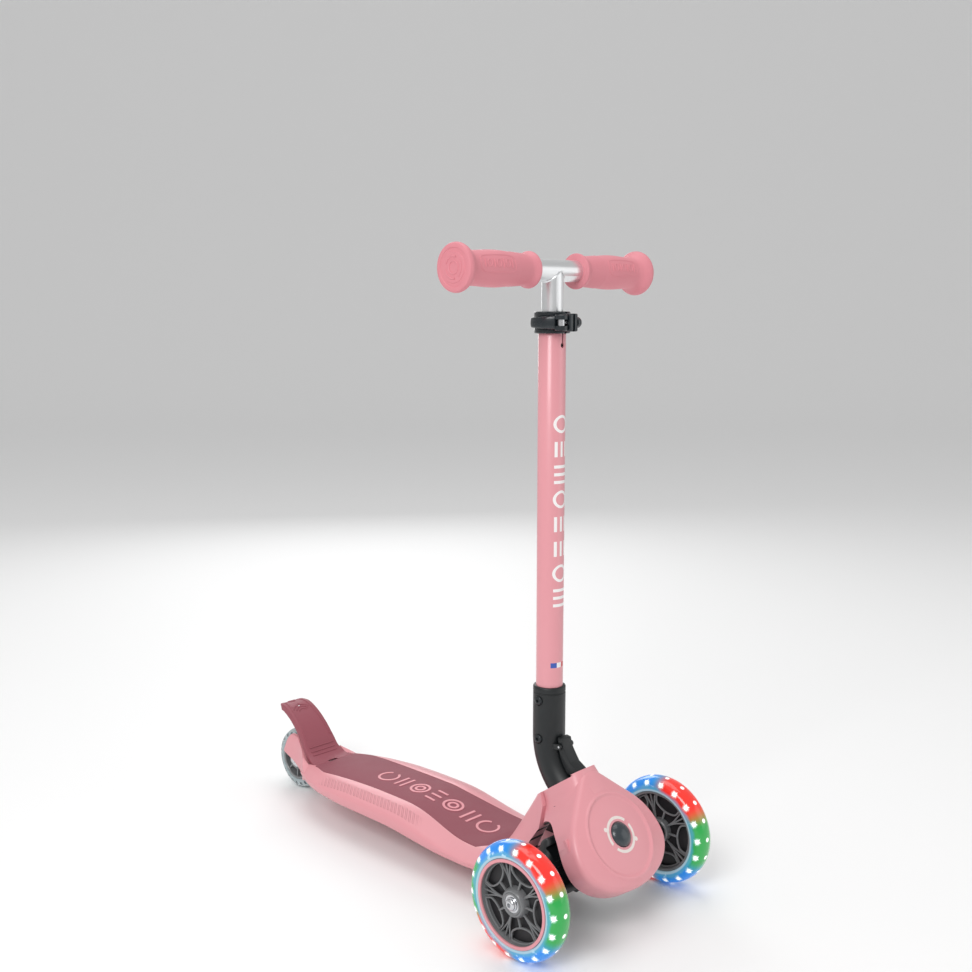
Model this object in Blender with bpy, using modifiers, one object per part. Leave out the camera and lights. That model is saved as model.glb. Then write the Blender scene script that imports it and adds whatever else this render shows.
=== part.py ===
"""A three-wheeled folding kick scooter for a small child, as separate sub-parts.

Metres, +Z up. The deck runs along +Y, the front wheels and the face look along -Y, and the
rider's right hand is at -X. The model is drawn with the front axle over Y = 0, and the last
line moves it so that the middle of its footprint is the origin.
"""

import math

import bmesh
import bpy
from mathutils import Matrix, Vector

# Clearances
GAP = 0.0003  # between pieces that touch
RUNNING_GAP = 0.001  # between pieces that move past each other

# Driving dimensions of the whole scooter
WHEELBASE = 0.505  # front axle to rear axle
FRONT_TRACK = 0.234  # between the middles of the two front wheels
DECK_WIDTH = 0.134
HANDLEBAR_HEIGHT = 0.672  # floor to the bar's centre line, at the lowest of four settings
HANDLEBAR_WIDTH = 0.280  # over the ends of the grips

# Wheels
FRONT_WHEEL_RADIUS = 0.060
FRONT_WHEEL_WIDTH = 0.026
REAR_WHEEL_RADIUS = 0.040
REAR_WHEEL_WIDTH = 0.024
FRONT_TYRE_DEPTH = 0.015
FRONT_RIM_RADIUS = FRONT_WHEEL_RADIUS - FRONT_TYRE_DEPTH
REAR_TYRE_DEPTH = 0.013
REAR_RIM_RADIUS = REAR_WHEEL_RADIUS - REAR_TYRE_DEPTH
LIGHT_RING_DEPTH = 0.005
LIGHT_RING_WIDTH = 0.014
BEARING_RADIUS = 0.011
BEARING_WIDTH = 0.007
AXLE_RADIUS = 0.004
TRIM_RING_WIDTH = 0.0035
HUB_WIDTH = FRONT_WHEEL_WIDTH - 0.004
SPACER_LENGTH = 0.006
SPACER_RADIUS = 0.006
AXLE_GRIP = 0.020  # how far a front axle bolt reaches into the carrier
FRONT_RIM_RIBS = 5

# Deck and tail
DECK_CREST_HEIGHT = 0.0623  # top of the deck where the foot stands
DECK_THICKNESS = 0.0255
DECK_SKIN = 0.004
DECK_RIB = 0.003
RIB_PITCH = 0.072
PAD_THICKNESS = 0.0025
EDGE_DROP = 0.008  # how far the standing surface falls to the deck's edges
PAD_HALF_WIDTH = 0.0365
TAIL_HINGE_TO_AXLE = 0.064
TAIL_SKIN = 0.003
HINGE_PIN_RADIUS = 0.002
HILL_FRONT = 0.048  # the neck's back begins this far behind the front axle
CREST_PLACE = 0.275
DECK_REAR = WHEELBASE - 0.050
PAD_FRONT = 0.117
PAD_REAR = WHEELBASE - TAIL_HINGE_TO_AXLE - 0.0055
PAD_NOSE_RADIUS = 0.067
STAY_INNER = REAR_WHEEL_WIDTH / 2 + 0.002  # the fork arms' inner faces
AXLE_HALF = STAY_INNER + 0.0035
BARREL_RADIUS = 0.0045
TAIL_ROOT_HALF = 0.0305
TAIL_PIN_HALF = 0.0355
SPRING_ROOM = 0.0070  # half the gap between the two halves of the flap's barrel
TAIL_HOLE_RADIUS = 0.0028
TAIL_STEP = [  # room under the pressed flap, back and up from its hinge
    (0.0000, -0.0053),
    (0.0120, -0.0053),
    (0.0262, 0.0058),
    (0.0383, 0.0177),
    (0.0485, 0.0285),
    (0.0485, 0.2500),
    (0.0000, 0.2500),
]
TAIL_PATH = [  # back from the hinge, up from the hinge, half width, depth of the side flange
    (0.000, 0.0040, 0.0295, 0.0034),
    (0.010, 0.0065, 0.0280, 0.0040),
    (0.020, 0.0135, 0.0255, 0.0060),
    (0.029, 0.0270, 0.0230, 0.0080),
    (0.043, 0.0430, 0.0210, 0.0080),
    (0.058, 0.0550, 0.0195, 0.0080),
    (0.073, 0.0625, 0.0180, 0.0080),
    (0.087, 0.0630, 0.0160, 0.0075),
    (0.095, 0.0600, 0.0125, 0.0065),
    (0.0995, 0.0560, 0.0070, 0.0050),
]

# Steering head: its axis is square to the round face
STEER_LEAN = math.radians(35)  # how far the face leans back
FACE_CENTRE = Vector((0, -0.033, 0.101))
FACE_RADIUS = 0.067
FACE_CENTRE_DROP = 0.013  # the round part's middle lies this far below the button
FACE_LOWER_HEIGHT = 0.041
FACE_TIP_RADIUS = 0.020
COVER_WALL = 0.003
NECK_TOP = 0.0728
NECK_DEPTH = 0.070
FACE_POINTS = 28
SPLIT_DEPTH = 0.0575  # the cover ends here, and the deck moulding begins
SLOT_FLOOR = 0.062
BUTTON_RADIUS = 0.0132
BUTTON_FLANGE = 0.0023
PLUNGER_RADIUS = 0.0025
PLUNGER_OFFSET = 0.0125
BRIDGE_DEPTH = 0.0125
BRIDGE_THICKNESS = 0.003
BUTTON_TRAVEL = 0.003
KINGPIN_RADIUS = 0.005
KINGPIN_HEAD_RADIUS = 0.009
BUSH_WALL = 0.0027
HUB_FRONT = 0.028
HUB_REAR = 0.046
FRAME_FRONT = 0.054
FRAME_REAR = 0.072
CARRIER_BOSS_RADIUS = 0.013
CARRIER_BOSS_END = FRONT_TRACK / 2 - HUB_WIDTH / 2 - SPACER_LENGTH
TONGUE_HALF_WIDTH = 0.026
TONGUE_LOW = 0.034
TONGUE_HIGH = 0.040
TONGUE_REAR = 0.114
WING_REACH = 0.0235  # the frame's side webs above the carrier's arms
SCREW_PLACES = {"left": (0.015, 0.098), "right": (-0.015, 0.098)}
SCREW_RADIUS = 0.002
SCREW_TIP = 0.0525

# Stem, fold and handlebar
TUBE_SETBACK = 0.0665  # the steering tube stands this far behind the front axle
OUTER_TUBE_RADIUS = 0.0143
INNER_TUBE_RADIUS = 0.0111
TUBE_WALL = 0.0015
ELBOW_WALL = 0.00305
ELBOW_RADIUS = OUTER_TUBE_RADIUS + ELBOW_WALL
NECK_WALL = 0.00465  # from the elbow to the neck's outside
NECK_HALF_WIDTH = ELBOW_RADIUS + NECK_WALL
SLOT_HALF_WIDTH = ELBOW_RADIUS + RUNNING_GAP
ELBOW_SIDES = 16
ELBOW_BEND_RADIUS = 0.070
ELBOW_BEND_TOP = 0.184
ELBOW_TOP = 0.2383
SOCKET_FLOOR = 0.170
BEND_TO_PIVOT = 0.023
KNUCKLE_HALF_WIDTH = 0.012
KNUCKLE_RADIUS = 0.012
TUBE_START = 0.018  # the elbow's round tube begins this far from the fold pin
FOLD_PIN_RADIUS = 0.003
EAR_THICKNESS = 0.0055
FRAME_HALF_WIDTH = KNUCKLE_HALF_WIDTH + 0.0004 + EAR_THICKNESS
LEVER_HALF_WIDTH = 0.0075
LEVER_PIN_RADIUS = 0.0012
SCREW_HEIGHTS = {"upper": 0.224, "lower": 0.182}
CLAMP_TOP = 0.631
CLAMP_HEIGHT = 0.022
CLAMP_WALL = 0.0042
CLAMP_RADIUS = OUTER_TUBE_RADIUS + CLAMP_WALL
EAR_REACH = 0.0062
BOLT_RADIUS = 0.0020
CLAMP_PIN_RADIUS = 0.0018
CAM_RADIUS = 0.0064
LEVER_HALF_HEIGHT = 0.0080
TUBE_BOTTOM = SOCKET_FLOOR + GAP
TUBE_TOP = CLAMP_TOP - 0.002
SLIT_HALF_WIDTH = 0.0012
SLIT_BOTTOM = CLAMP_TOP - CLAMP_HEIGHT - 0.012
SLEEVE_LENGTH = 0.040
HEIGHT_STEP = 0.050
HEIGHT_SETTINGS = 4
BUTTON_HOLE_HEIGHT = 0.420
SNAP_BUTTON_RADIUS = 0.003
GRIP_INNER_END = 0.035
GRIP_DISC_RADIUS = 0.0237
GRIP_END = 0.0065  # thickness of the closed end of a grip

PINK = ("pink_plastic", (0.78, 0.37, 0.40), 0.45, 0.0)
PINK_PAINT = ("pink_paint", (0.78, 0.37, 0.40), 0.30, 0.0)
GRIP_RUBBER = ("grip_rubber", (0.76, 0.30, 0.33), 0.60, 0.0)
MAROON = ("maroon_plastic", (0.33, 0.09, 0.12), 0.60, 0.0)
BLACK = ("black_nylon", (0.02, 0.025, 0.027), 0.50, 0.0)
SLATE = ("slate_plastic", (0.026, 0.038, 0.047), 0.45, 0.0)
GREY = ("grey_plastic", (0.17, 0.17, 0.17), 0.45, 0.0)
CLEAR = ("clear_urethane", (0.55, 0.80, 0.85), 0.20, 0.0)
LIGHTS = ("light_ring", (0.80, 0.85, 0.90), 0.30, 0.0)
ALUMINIUM = ("satin_aluminium", (0.78, 0.79, 0.80), 0.30, 1.0)
STEEL = ("zinc_steel", (0.62, 0.63, 0.65), 0.25, 1.0)
BRONZE = ("bush_nylon", (0.70, 0.68, 0.62), 0.50, 0.0)

X_AXIS = Vector((1, 0, 0))
Y_AXIS = Vector((0, 1, 0))
Z_AXIS = Vector((0, 0, 1))

# The face's own frame: x across, y up the face, z forwards out of it
FACE_FRAME = Matrix.Translation(FACE_CENTRE) @ Matrix.Rotation(math.pi / 2 - STEER_LEAN, 4, "X")

# The neck's sections: up the face, half width, depth of its back
NECK_STATIONS = [
    (0.020, 0.052, 0.072),
    (0.036, 0.045, 0.072),
    (0.045, 0.037, 0.0715),
    (0.053, 0.030, 0.071),
    (0.061, 0.0250, 0.0705),
    (NECK_TOP, NECK_HALF_WIDTH, NECK_DEPTH),
]
WORLD_FRAME = Matrix.Identity(4)


def face_point(x, up, depth):
    """The world point this far across and up the face, and this deep behind it."""
    return FACE_FRAME @ Vector((x, up, -depth))


def face_coordinates(point):
    """(up, depth) of a world point in the face's frame."""
    local = FACE_FRAME.inverted() @ point
    return local.y, -local.z


FRONT_AXLE = Vector((0, 0, FRONT_WHEEL_RADIUS))
REAR_AXLE = Vector((0, WHEELBASE, REAR_WHEEL_RADIUS))
BEND_CENTRE = Vector((0, TUBE_SETBACK - ELBOW_BEND_RADIUS, ELBOW_BEND_TOP))
BEND_ANGLE = math.radians(45)


def bend_point(angle, radius=ELBOW_BEND_RADIUS):
    return BEND_CENTRE + Vector((0, radius * math.cos(angle), -radius * math.sin(angle)))


BEND_WAY = Vector((0, math.sin(BEND_ANGLE), math.cos(BEND_ANGLE)))
FOLD_PIVOT = bend_point(BEND_ANGLE) - BEND_TO_PIVOT * BEND_WAY
TAIL_HINGE = Vector((0, WHEELBASE - TAIL_HINGE_TO_AXLE, 0.049))
BAR_CENTRE = Vector((0, TUBE_SETBACK, HANDLEBAR_HEIGHT))


# Scene, collections, materials and bodies

for old in list(bpy.data.objects):
    bpy.data.objects.remove(old)


def new_collection(name):
    collection = bpy.data.collections.new(name)
    bpy.context.scene.collection.children.link(collection)
    return collection


PARTS = new_collection("kick_scooter")
CUTTERS = new_collection("cutters")
MATERIALS = {}


def material_of(look):
    """One Principled material for each named look."""
    name, colour, roughness, metallic = look
    if name not in MATERIALS:
        material = bpy.data.materials.new(name)
        material.use_nodes = True
        shader = material.node_tree.nodes["Principled BSDF"]
        shader.inputs["Base Color"].default_value = (*colour, 1)
        shader.inputs["Roughness"].default_value = roughness
        shader.inputs["Metallic"].default_value = metallic
        MATERIALS[name] = material
    return MATERIALS[name]


def pivot(name, point, parent, frame=WORLD_FRAME):
    """An empty on a joint's axis, which carries the body's pieces."""
    empty = bpy.data.objects.new(name, None)
    PARTS.objects.link(empty)
    empty.matrix_world = Matrix.Translation(point) @ frame.to_3x3().to_4x4()
    keep_place(empty, parent)
    return empty


def keep_place(obj, parent):
    if parent:
        obj.parent = parent
        obj.matrix_parent_inverse = parent.matrix_basis.inverted()


def finish(obj, name, look, body):
    """Turns a shape into a named piece of a body."""
    obj.name = name
    CUTTERS.objects.unlink(obj)
    PARTS.objects.link(obj)
    obj.hide_render = False
    obj.display_type = "TEXTURED"
    obj.data.materials.clear()
    obj.data.materials.append(material_of(look))
    obj.data.shade_smooth()
    obj.data.set_sharp_from_angle(angle=math.radians(35))
    keep_place(obj, body)
    return obj


# Shapes. Each starts as a hidden helper, and finish() makes it a piece.


def helper(bm, name, frame=WORLD_FRAME):
    mesh = bpy.data.meshes.new(name)
    bm.to_mesh(mesh)
    bm.free()
    obj = bpy.data.objects.new(name, mesh)
    CUTTERS.objects.link(obj)
    obj.hide_render = True
    obj.display_type = "WIRE"
    obj.matrix_world = frame
    return obj


def block(low, high, frame=WORLD_FRAME, rounding=0.0):
    """A box between two corners."""
    low, high = Vector(low), Vector(high)
    bm = bmesh.new()
    bmesh.ops.create_cube(bm, size=1)
    bmesh.ops.scale(bm, vec=high - low, verts=bm.verts)
    bmesh.ops.translate(bm, vec=(low + high) / 2, verts=bm.verts)
    obj = helper(bm, "block", frame)
    if rounding:
        bevel = obj.modifiers.new("rounding", "BEVEL")
        bevel.width = rounding
        bevel.segments = 2
    return obj


def rod(radius, start, end, sides=20, frame=WORLD_FRAME, end_radius=None):
    """A round bar, or a cone, from one point to another."""
    start, end = Vector(start), Vector(end)
    along = end - start
    turn = along.to_track_quat("Z", "Y").to_matrix().to_4x4()
    bm = bmesh.new()
    bmesh.ops.create_cone(
        bm,
        cap_ends=True,
        segments=sides,
        radius1=radius,
        radius2=radius if end_radius is None else end_radius,
        depth=along.length,
        matrix=Matrix.Translation((start + end) / 2) @ turn,
    )
    return helper(bm, "rod", frame)


def turned(profile, base, axis, sides=24, ring=True):
    """A Screw of (radius, along) points, from the top down the outside. A ring has a bore."""
    bm = bmesh.new()
    points = [bm.verts.new((radius, 0, along)) for radius, along in profile]
    for first, second in zip(points, points[1:] + points[:1] if ring else points[1:]):
        bm.edges.new((first, second))
    frame = Matrix.Translation(base) @ Vector(axis).to_track_quat("Z", "Y").to_matrix().to_4x4()
    obj = helper(bm, "turned", frame)
    screw = obj.modifiers.new("turn", "SCREW")
    screw.steps = screw.render_steps = sides
    screw.use_merge_vertices = True
    screw.merge_threshold = 0.00002
    return obj


def washer(outer, bore, start, end, sides=20):
    """A plain ring or tube between two points."""
    length = (Vector(end) - Vector(start)).length
    profile = [(outer, length), (outer, 0), (bore, 0), (bore, length)]
    return turned(profile, start, Vector(end) - Vector(start), sides)


def loft(rings, frame=WORLD_FRAME):
    """A skin through rings of equally many points, closed by its first and last ring."""
    bm = bmesh.new()
    rows = [[bm.verts.new(point) for point in ring] for ring in rings]
    for lower, upper in zip(rows, rows[1:]):
        for i in range(len(lower)):
            j = (i + 1) % len(lower)
            bm.faces.new((lower[i], lower[j], upper[j], upper[i]))
    # A four-sided face may be twisted, and a Boolean needs flat ones.
    bmesh.ops.triangulate(bm, faces=bm.faces)
    bm.faces.new(rows[0])
    bm.faces.new(rows[-1])
    bmesh.ops.recalc_face_normals(bm, faces=bm.faces)
    return helper(bm, "loft", frame)


def plate(outline, start, end, frame=WORLD_FRAME):
    """A side profile of (y, z) points, from x = start to x = end."""
    return loft([[(x, y, z) for y, z in outline] for x in (start, end)], frame)


def coil(radius, turns, wire, start, end, frame=WORLD_FRAME):
    """A helical spring round the frame's own z axis."""
    steps = 10
    rings = []
    for i in range(int(turns * steps) + 1):
        angle = 2 * math.pi * i / steps
        out = Vector((math.cos(angle), math.sin(angle), 0))
        along = start + (end - start) * i / (turns * steps)
        ring = []
        for corner in range(5):
            turn = 2 * math.pi * corner / 5
            ring.append(out * (radius + wire * math.cos(turn)) + Z_AXIS * (along + wire * math.sin(turn)))
        rings.append(ring)
    return loft(rings, frame)


def boolean(obj, others, operation):
    """One Boolean of the object and a collection of helpers, all at once."""
    group = bpy.data.collections.new(operation.lower())
    for other in others:
        group.objects.link(other)
    modifier = obj.modifiers.new(operation.lower(), "BOOLEAN")
    modifier.operation = operation
    modifier.operand_type = "COLLECTION"
    modifier.collection = group
    modifier.solver = "EXACT"
    return obj


def cut(obj, *others):
    return boolean(obj, others, "DIFFERENCE")


def join(obj, *others):
    return boolean(obj, others, "UNION")


def keep(obj, *others):
    return boolean(obj, others, "INTERSECT")


def smooth_step(value, low, high):
    share = min(max((value - low) / (high - low), 0), 1)
    return share * share * (3 - 2 * share)


def blended(stations, place):
    """The value at a place between (place, value) stations, in order."""
    for (a, first), (b, second) in zip(stations, stations[1:]):
        if place <= b:
            share = max((place - a) / (b - a), 0)
            return first + (second - first) * share
    return stations[-1][1]


# Bodies, each on its joint's axis

ROOT = pivot("scooter", Vector((0, 0, 0)), None)
STEERING = pivot("steering_axis", FACE_CENTRE, ROOT, FACE_FRAME)
FRONT_WHEELS = {
    side: pivot(f"front_wheel_axis_{side}", FRONT_AXLE + sign * FRONT_TRACK / 2 * X_AXIS, STEERING)
    for side, sign in (("left", 1), ("right", -1))
}
REAR_WHEEL = pivot("rear_wheel_axis", REAR_AXLE, ROOT)
TAIL = pivot("tail_hinge_axis", TAIL_HINGE, ROOT)
LOCK = pivot("lock_button_axis", FACE_CENTRE, ROOT, FACE_FRAME)
STEM = pivot("fold_axis", FOLD_PIVOT, ROOT)
FOLD_LEVER_PIVOT = bend_point(math.radians(9), ELBOW_BEND_RADIUS - ELBOW_RADIUS - 0.0046)
FOLD_LEVER = pivot("fold_lever_axis", FOLD_LEVER_PIVOT, STEM)
T_BAR = pivot("height_axis", BAR_CENTRE, STEM)
CLAMP_PIVOT = Vector((-0.0135, TUBE_SETBACK - CLAMP_RADIUS - 0.0053, CLAMP_TOP - CLAMP_HEIGHT / 2))
CLAMP = pivot("clamp_lever_axis", CLAMP_PIVOT, STEM)
SNAP = pivot("height_button_axis", Vector((0, TUBE_SETBACK, BUTTON_HOLE_HEIGHT)), T_BAR)

# Deck outline: distances along the deck from the front axle. The front part keeps its distance
# to the front axle, the rear part to the rear axle, and the middle stretches.


def deck_half_width(y):
    stations = [
        (HILL_FRONT, 0.66),
        (0.080, 0.84),
        (0.105, 0.94),
        (0.130, 1.0),
        (WHEELBASE - 0.155, 1.0),
        (WHEELBASE - 0.105, 0.93),
        (WHEELBASE - 0.075, 0.80),
        (WHEELBASE - 0.050, 0.63),
    ]
    return DECK_WIDTH / 2 * blended(stations, y)


def deck_top(y):
    """Height of the standing surface: a long crown that dips before the neck."""
    rear = DECK_CREST_HEIGHT - 0.0095 * (max(y - CREST_PLACE, 0) / (DECK_REAR - CREST_PLACE)) ** 2
    dip = 0.0140 * smooth_step(CREST_PLACE - y, 0.015, 0.135)
    return rear - dip


def deck_bottom(y):
    return DECK_CREST_HEIGHT - DECK_THICKNESS - 0.0065 * smooth_step(CREST_PLACE - y, 0.0, 0.110)


def hill_height(y):
    """How far the neck's back rises over the deck."""
    line = 0.070 - 1.652 * (y - TUBE_SETBACK)
    return 0.0 if y > 0.118 else max(line, 0) + 0.004 * smooth_step(0.118 - y, 0, 0.014)


def pad_half_width(y):
    flare = 0.0075 * smooth_step(0.240 - y, 0, 0.090) + 0.004 * smooth_step(y, 0.300, PAD_REAR)
    width = PAD_HALF_WIDTH + flare
    into = y - PAD_FRONT
    if into < PAD_NOSE_RADIUS:
        width = min(width, math.sqrt(max(PAD_NOSE_RADIUS**2 - (PAD_NOSE_RADIUS - into) ** 2, 0)))
    taper = 0.008 * smooth_step(y, PAD_REAR - 0.030, PAD_REAR)
    return width - taper


def deck_section(y):
    """Ring of the deck's outer skin at y, from the middle of the top round to the bottom."""
    width = deck_half_width(y)
    top = deck_top(y)
    bottom = deck_bottom(y)
    flat = min(PAD_HALF_WIDTH + 0.0075, width * 0.66)
    hill = hill_height(y)
    half = []
    for share in (0.0, 0.45, 1.0):
        half.append((flat * share, top))
    half += [(flat + 0.62 * (width - flat), top - 0.0050), (width - 0.002, top - EDGE_DROP)]
    half += [(width, (top + bottom) / 2), (width - 0.0015, bottom + 0.003), (width - 0.006, bottom)]
    risen = []
    for x, z in half:
        bump = max(1 - max(x - NECK_HALF_WIDTH + 0.001, 0) / 0.035, 0) ** 1.4
        lift = hill * bump if z >= top - EDGE_DROP else 0
        risen.append((x, z + lift))
    right = [(x, y, z) for x, z in risen]
    left = [(-x, y, z) for x, z in reversed(risen[1:])]
    return right + [(0, y, bottom)] + left


def deck_stations():
    front = [0.048, 0.056, 0.064, 0.072, 0.082, 0.092, 0.101, 0.110, 0.119, 0.135]
    middle = [0.155, 0.180, 0.210, 0.240, 0.275, WHEELBASE - 0.170]
    rear = [WHEELBASE - back for back in (0.135, 0.105, 0.085, 0.066, 0.050)]
    return front + middle + rear


def stay_shape(sign):
    """One arm of the fork beside the rear wheel: (back from the axle, half width, low, high)."""
    stations = [
        (-0.062, 0.046, 0.037, 0.048),
        (-0.050, 0.0395, 0.032, 0.0535),
        (-0.040, 0.031, 0.029, 0.0600),
        (-0.030, 0.0245, 0.029, 0.0680),
        (-0.020, 0.0215, 0.0325, 0.0750),
        (-0.008, 0.0200, 0.0385, 0.0775),
        (0.001, 0.0197, 0.0420, 0.0760),
        (0.009, 0.0195, 0.0450, 0.0680),
        (0.0165, 0.0190, 0.0475, 0.0545),
    ]
    rings = []
    for back, width, low, high in stations:
        y = WHEELBASE + back
        edge = 0.0015
        section = [(STAY_INNER, low), (width - edge, low), (width, low + edge)]
        section += [(width, high - 2 * edge), (width - edge, high), (STAY_INNER, high)]
        rings.append([(sign * x, y, z) for x, z in section])
    return loft(rings)


# The steering head's outer form


def inside_drop(x, up):
    """Whether a point of the face lies within the drop-shaped outline."""
    rise = up + FACE_CENTRE_DROP
    across = abs(x)
    if rise < 0:
        return (across / FACE_RADIUS) ** 2 + (rise / FACE_LOWER_HEIGHT) ** 2 <= 1
    flank = math.sqrt(2) * FACE_RADIUS
    tip = flank - math.sqrt(2) * FACE_TIP_RADIUS
    if across**2 + rise**2 <= FACE_RADIUS**2:
        return True
    if across**2 + (rise - tip) ** 2 <= FACE_TIP_RADIUS**2:
        return True
    lowest = FACE_RADIUS / math.sqrt(2)
    highest = tip + FACE_TIP_RADIUS / math.sqrt(2)
    return across + rise <= flank and lowest <= rise <= highest


def drop_reach(angle):
    """Distance from the button's centre to the outline."""
    near, far = 0.0, 0.2
    for _ in range(30):
        middle = (near + far) / 2
        if inside_drop(middle * math.cos(angle), middle * math.sin(angle)):
            near = middle
        else:
            far = middle
    return near


def face_ring(depth, inset=0.0, circle=None):
    """Points of the outline, drawn in by a distance, or of a circle round the button."""
    points = []
    for i in range(FACE_POINTS):
        angle = 2 * math.pi * i / FACE_POINTS
        reach = circle or drop_reach(angle) - inset
        points.append((reach * math.cos(angle), reach * math.sin(angle), -depth))
    return points


def face_form(wall):
    """The dished round face and its side wall, drawn in by the wall's thickness."""
    rings = [
        face_ring(0.0 + wall, circle=0.016),
        face_ring(0.0010 + wall, circle=0.0415),
        face_ring(0.0004 + wall, circle=0.0440),
        face_ring(0.0022 + wall, circle=0.0470),
        face_ring(0.0035 + wall, inset=0.0050 + wall),
        face_ring(0.0060 + wall, inset=0.0012 + wall),
        face_ring(0.0100 + wall, inset=wall),
        face_ring(0.0620, inset=wall),
    ]
    return loft(rings, FACE_FRAME)


def neck_form(wall, top):
    """The column that holds the elbow: rounded sections stacked up the face."""
    rings = []
    count = 24
    for up, half_width, back in NECK_STATIONS:
        front = 0.0045 + wall
        depth = (back - wall - front) / 2
        middle = front + depth
        width = half_width - wall
        ring = []
        for i in range(count):
            angle = 2 * math.pi * i / count
            across, along = math.cos(angle), math.sin(angle)
            soft = (abs(across) ** 3.4 + abs(along) ** 3.4) ** (-1 / 3.4)
            ring.append((width * soft * across, up, -(middle + depth * soft * along)))
        rings.append(ring)
    if top:
        rings.append([(x, up + top, z) for x, up, z in rings[-1]])
    return loft(rings, FACE_FRAME)


def side_opening():
    """The arch at both sides that the carrier's arms swing in, as (depth, up) points."""
    outline = [
        (0.0285, -0.090),
        (0.0275, -0.040),
        (0.0275, -0.013),
        (0.0290, 0.012),
        (0.0330, 0.024),
        (0.0390, 0.034),
        (0.0460, 0.0405),
        (0.0550, 0.0435),
        (0.0640, 0.0425),
        (0.0750, 0.0385),
        (0.0880, 0.0330),
        (0.1040, 0.0240),
        (0.1170, 0.0140),
        (0.1250, 0.0060),
        (0.1330, -0.020),
        (0.1330, -0.090),
    ]
    return loft([[(x, up, -depth) for depth, up in outline] for x in (-0.12, 0.12)], FACE_FRAME)


def elbow_slot():
    """The channel at the back of the neck that the elbow folds down into."""
    low = (-SLOT_HALF_WIDTH, FOLD_PIVOT.y - 0.010, SLOT_FLOOR)
    high = (SLOT_HALF_WIDTH, PAD_FRONT + 0.02, 0.30)
    return block(low, high)


def neck_mouth():
    """The opening in the top of the neck, wide for the elbow and narrow for the lever's tip."""
    wide = block((-SLOT_HALF_WIDTH, 0.030, -0.2), (SLOT_HALF_WIDTH, 0.2, -0.020), FACE_FRAME)
    half = LEVER_HALF_WIDTH + RUNNING_GAP
    narrow = block((-half, 0.062, -0.05), (half, 0.2, -0.0085), FACE_FRAME)
    return wide, narrow


def front_cover():
    cover = join(face_form(0), neck_form(0, 0.002))
    hollow = join(face_form(COVER_WALL), neck_form(COVER_WALL, 0.004))
    above = block((-0.12, NECK_TOP, -0.3), (0.12, 0.3, -0.012), FACE_FRAME)
    behind = block((-0.12, -0.12, -0.2), (0.12, 0.12, -SPLIT_DEPTH + GAP / 2), FACE_FRAME)
    cut(cover, hollow, side_opening(), behind, above, *neck_mouth())
    bridge_low = (-0.0645, -0.009, -BRIDGE_DEPTH - BRIDGE_THICKNESS)
    bridge = block(bridge_low, (0.0645, 0.018, -BRIDGE_DEPTH), FACE_FRAME)
    join(cover, bridge)
    hole = rod(BUTTON_RADIUS + GAP, (0, 0, 0.02), (0, 0, -0.010), 24, FACE_FRAME)
    guide = rod(PLUNGER_RADIUS + GAP, (0, PLUNGER_OFFSET, 0), (0, PLUNGER_OFFSET, -0.02), 12, FACE_FRAME)
    cut(cover, hole, guide)
    finish(cover, "front_cover", PINK, ROOT)


# Deck moulding and its pad


def pad_form(grow, above):
    """The pad's shape; grown and raised, it is the recess that the pad lies in."""
    into = [0.0006, 0.0025, 0.006, 0.011, 0.018, 0.028, 0.045, 0.070, 0.100, 0.130, CREST_PLACE - PAD_FRONT]
    places = [PAD_FRONT + step for step in into]
    places += [WHEELBASE - back for back in (0.170, 0.140, 0.110, 0.095, 0.082, 0.0755)]
    places.append(PAD_REAR)
    rings = []
    for i, y in enumerate(places):
        width = pad_half_width(y) + grow
        at = y - grow if i == 0 else y + grow if i == len(places) - 1 else y
        top = deck_top(y) + above
        bottom = deck_top(y) - PAD_THICKNESS - grow
        rings.append([(-width, at, bottom), (width, at, bottom), (width, at, top), (-width, at, top)])
    return loft(rings)


def deck_pockets():
    """Boxes under the deck that leave its skin, its side walls and a grid of ribs."""
    pockets = []
    first = TONGUE_REAR + 0.012
    last = TAIL_HINGE.y - 0.012
    rows = max(2, round((last - first) / RIB_PITCH))
    pitch = (last - first) / rows
    for row in range(rows):
        start = first + row * pitch
        end = start + pitch - DECK_RIB
        width = min(deck_half_width(start), deck_half_width(end)) - DECK_RIB - 0.006
        roof = min(deck_top(start), deck_top(end)) - PAD_THICKNESS - DECK_SKIN
        for low, high in ((DECK_RIB / 2, width / 2 - DECK_RIB / 2), (width / 2 + DECK_RIB / 2, width)):
            over = roof - (0.0045 if low > 0.02 else 0)
            pockets.append(block((low, start, 0.0), (high, end, over)))
            pockets.append(block((-high, start, 0.0), (-low, end, over)))
    return pockets


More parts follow.
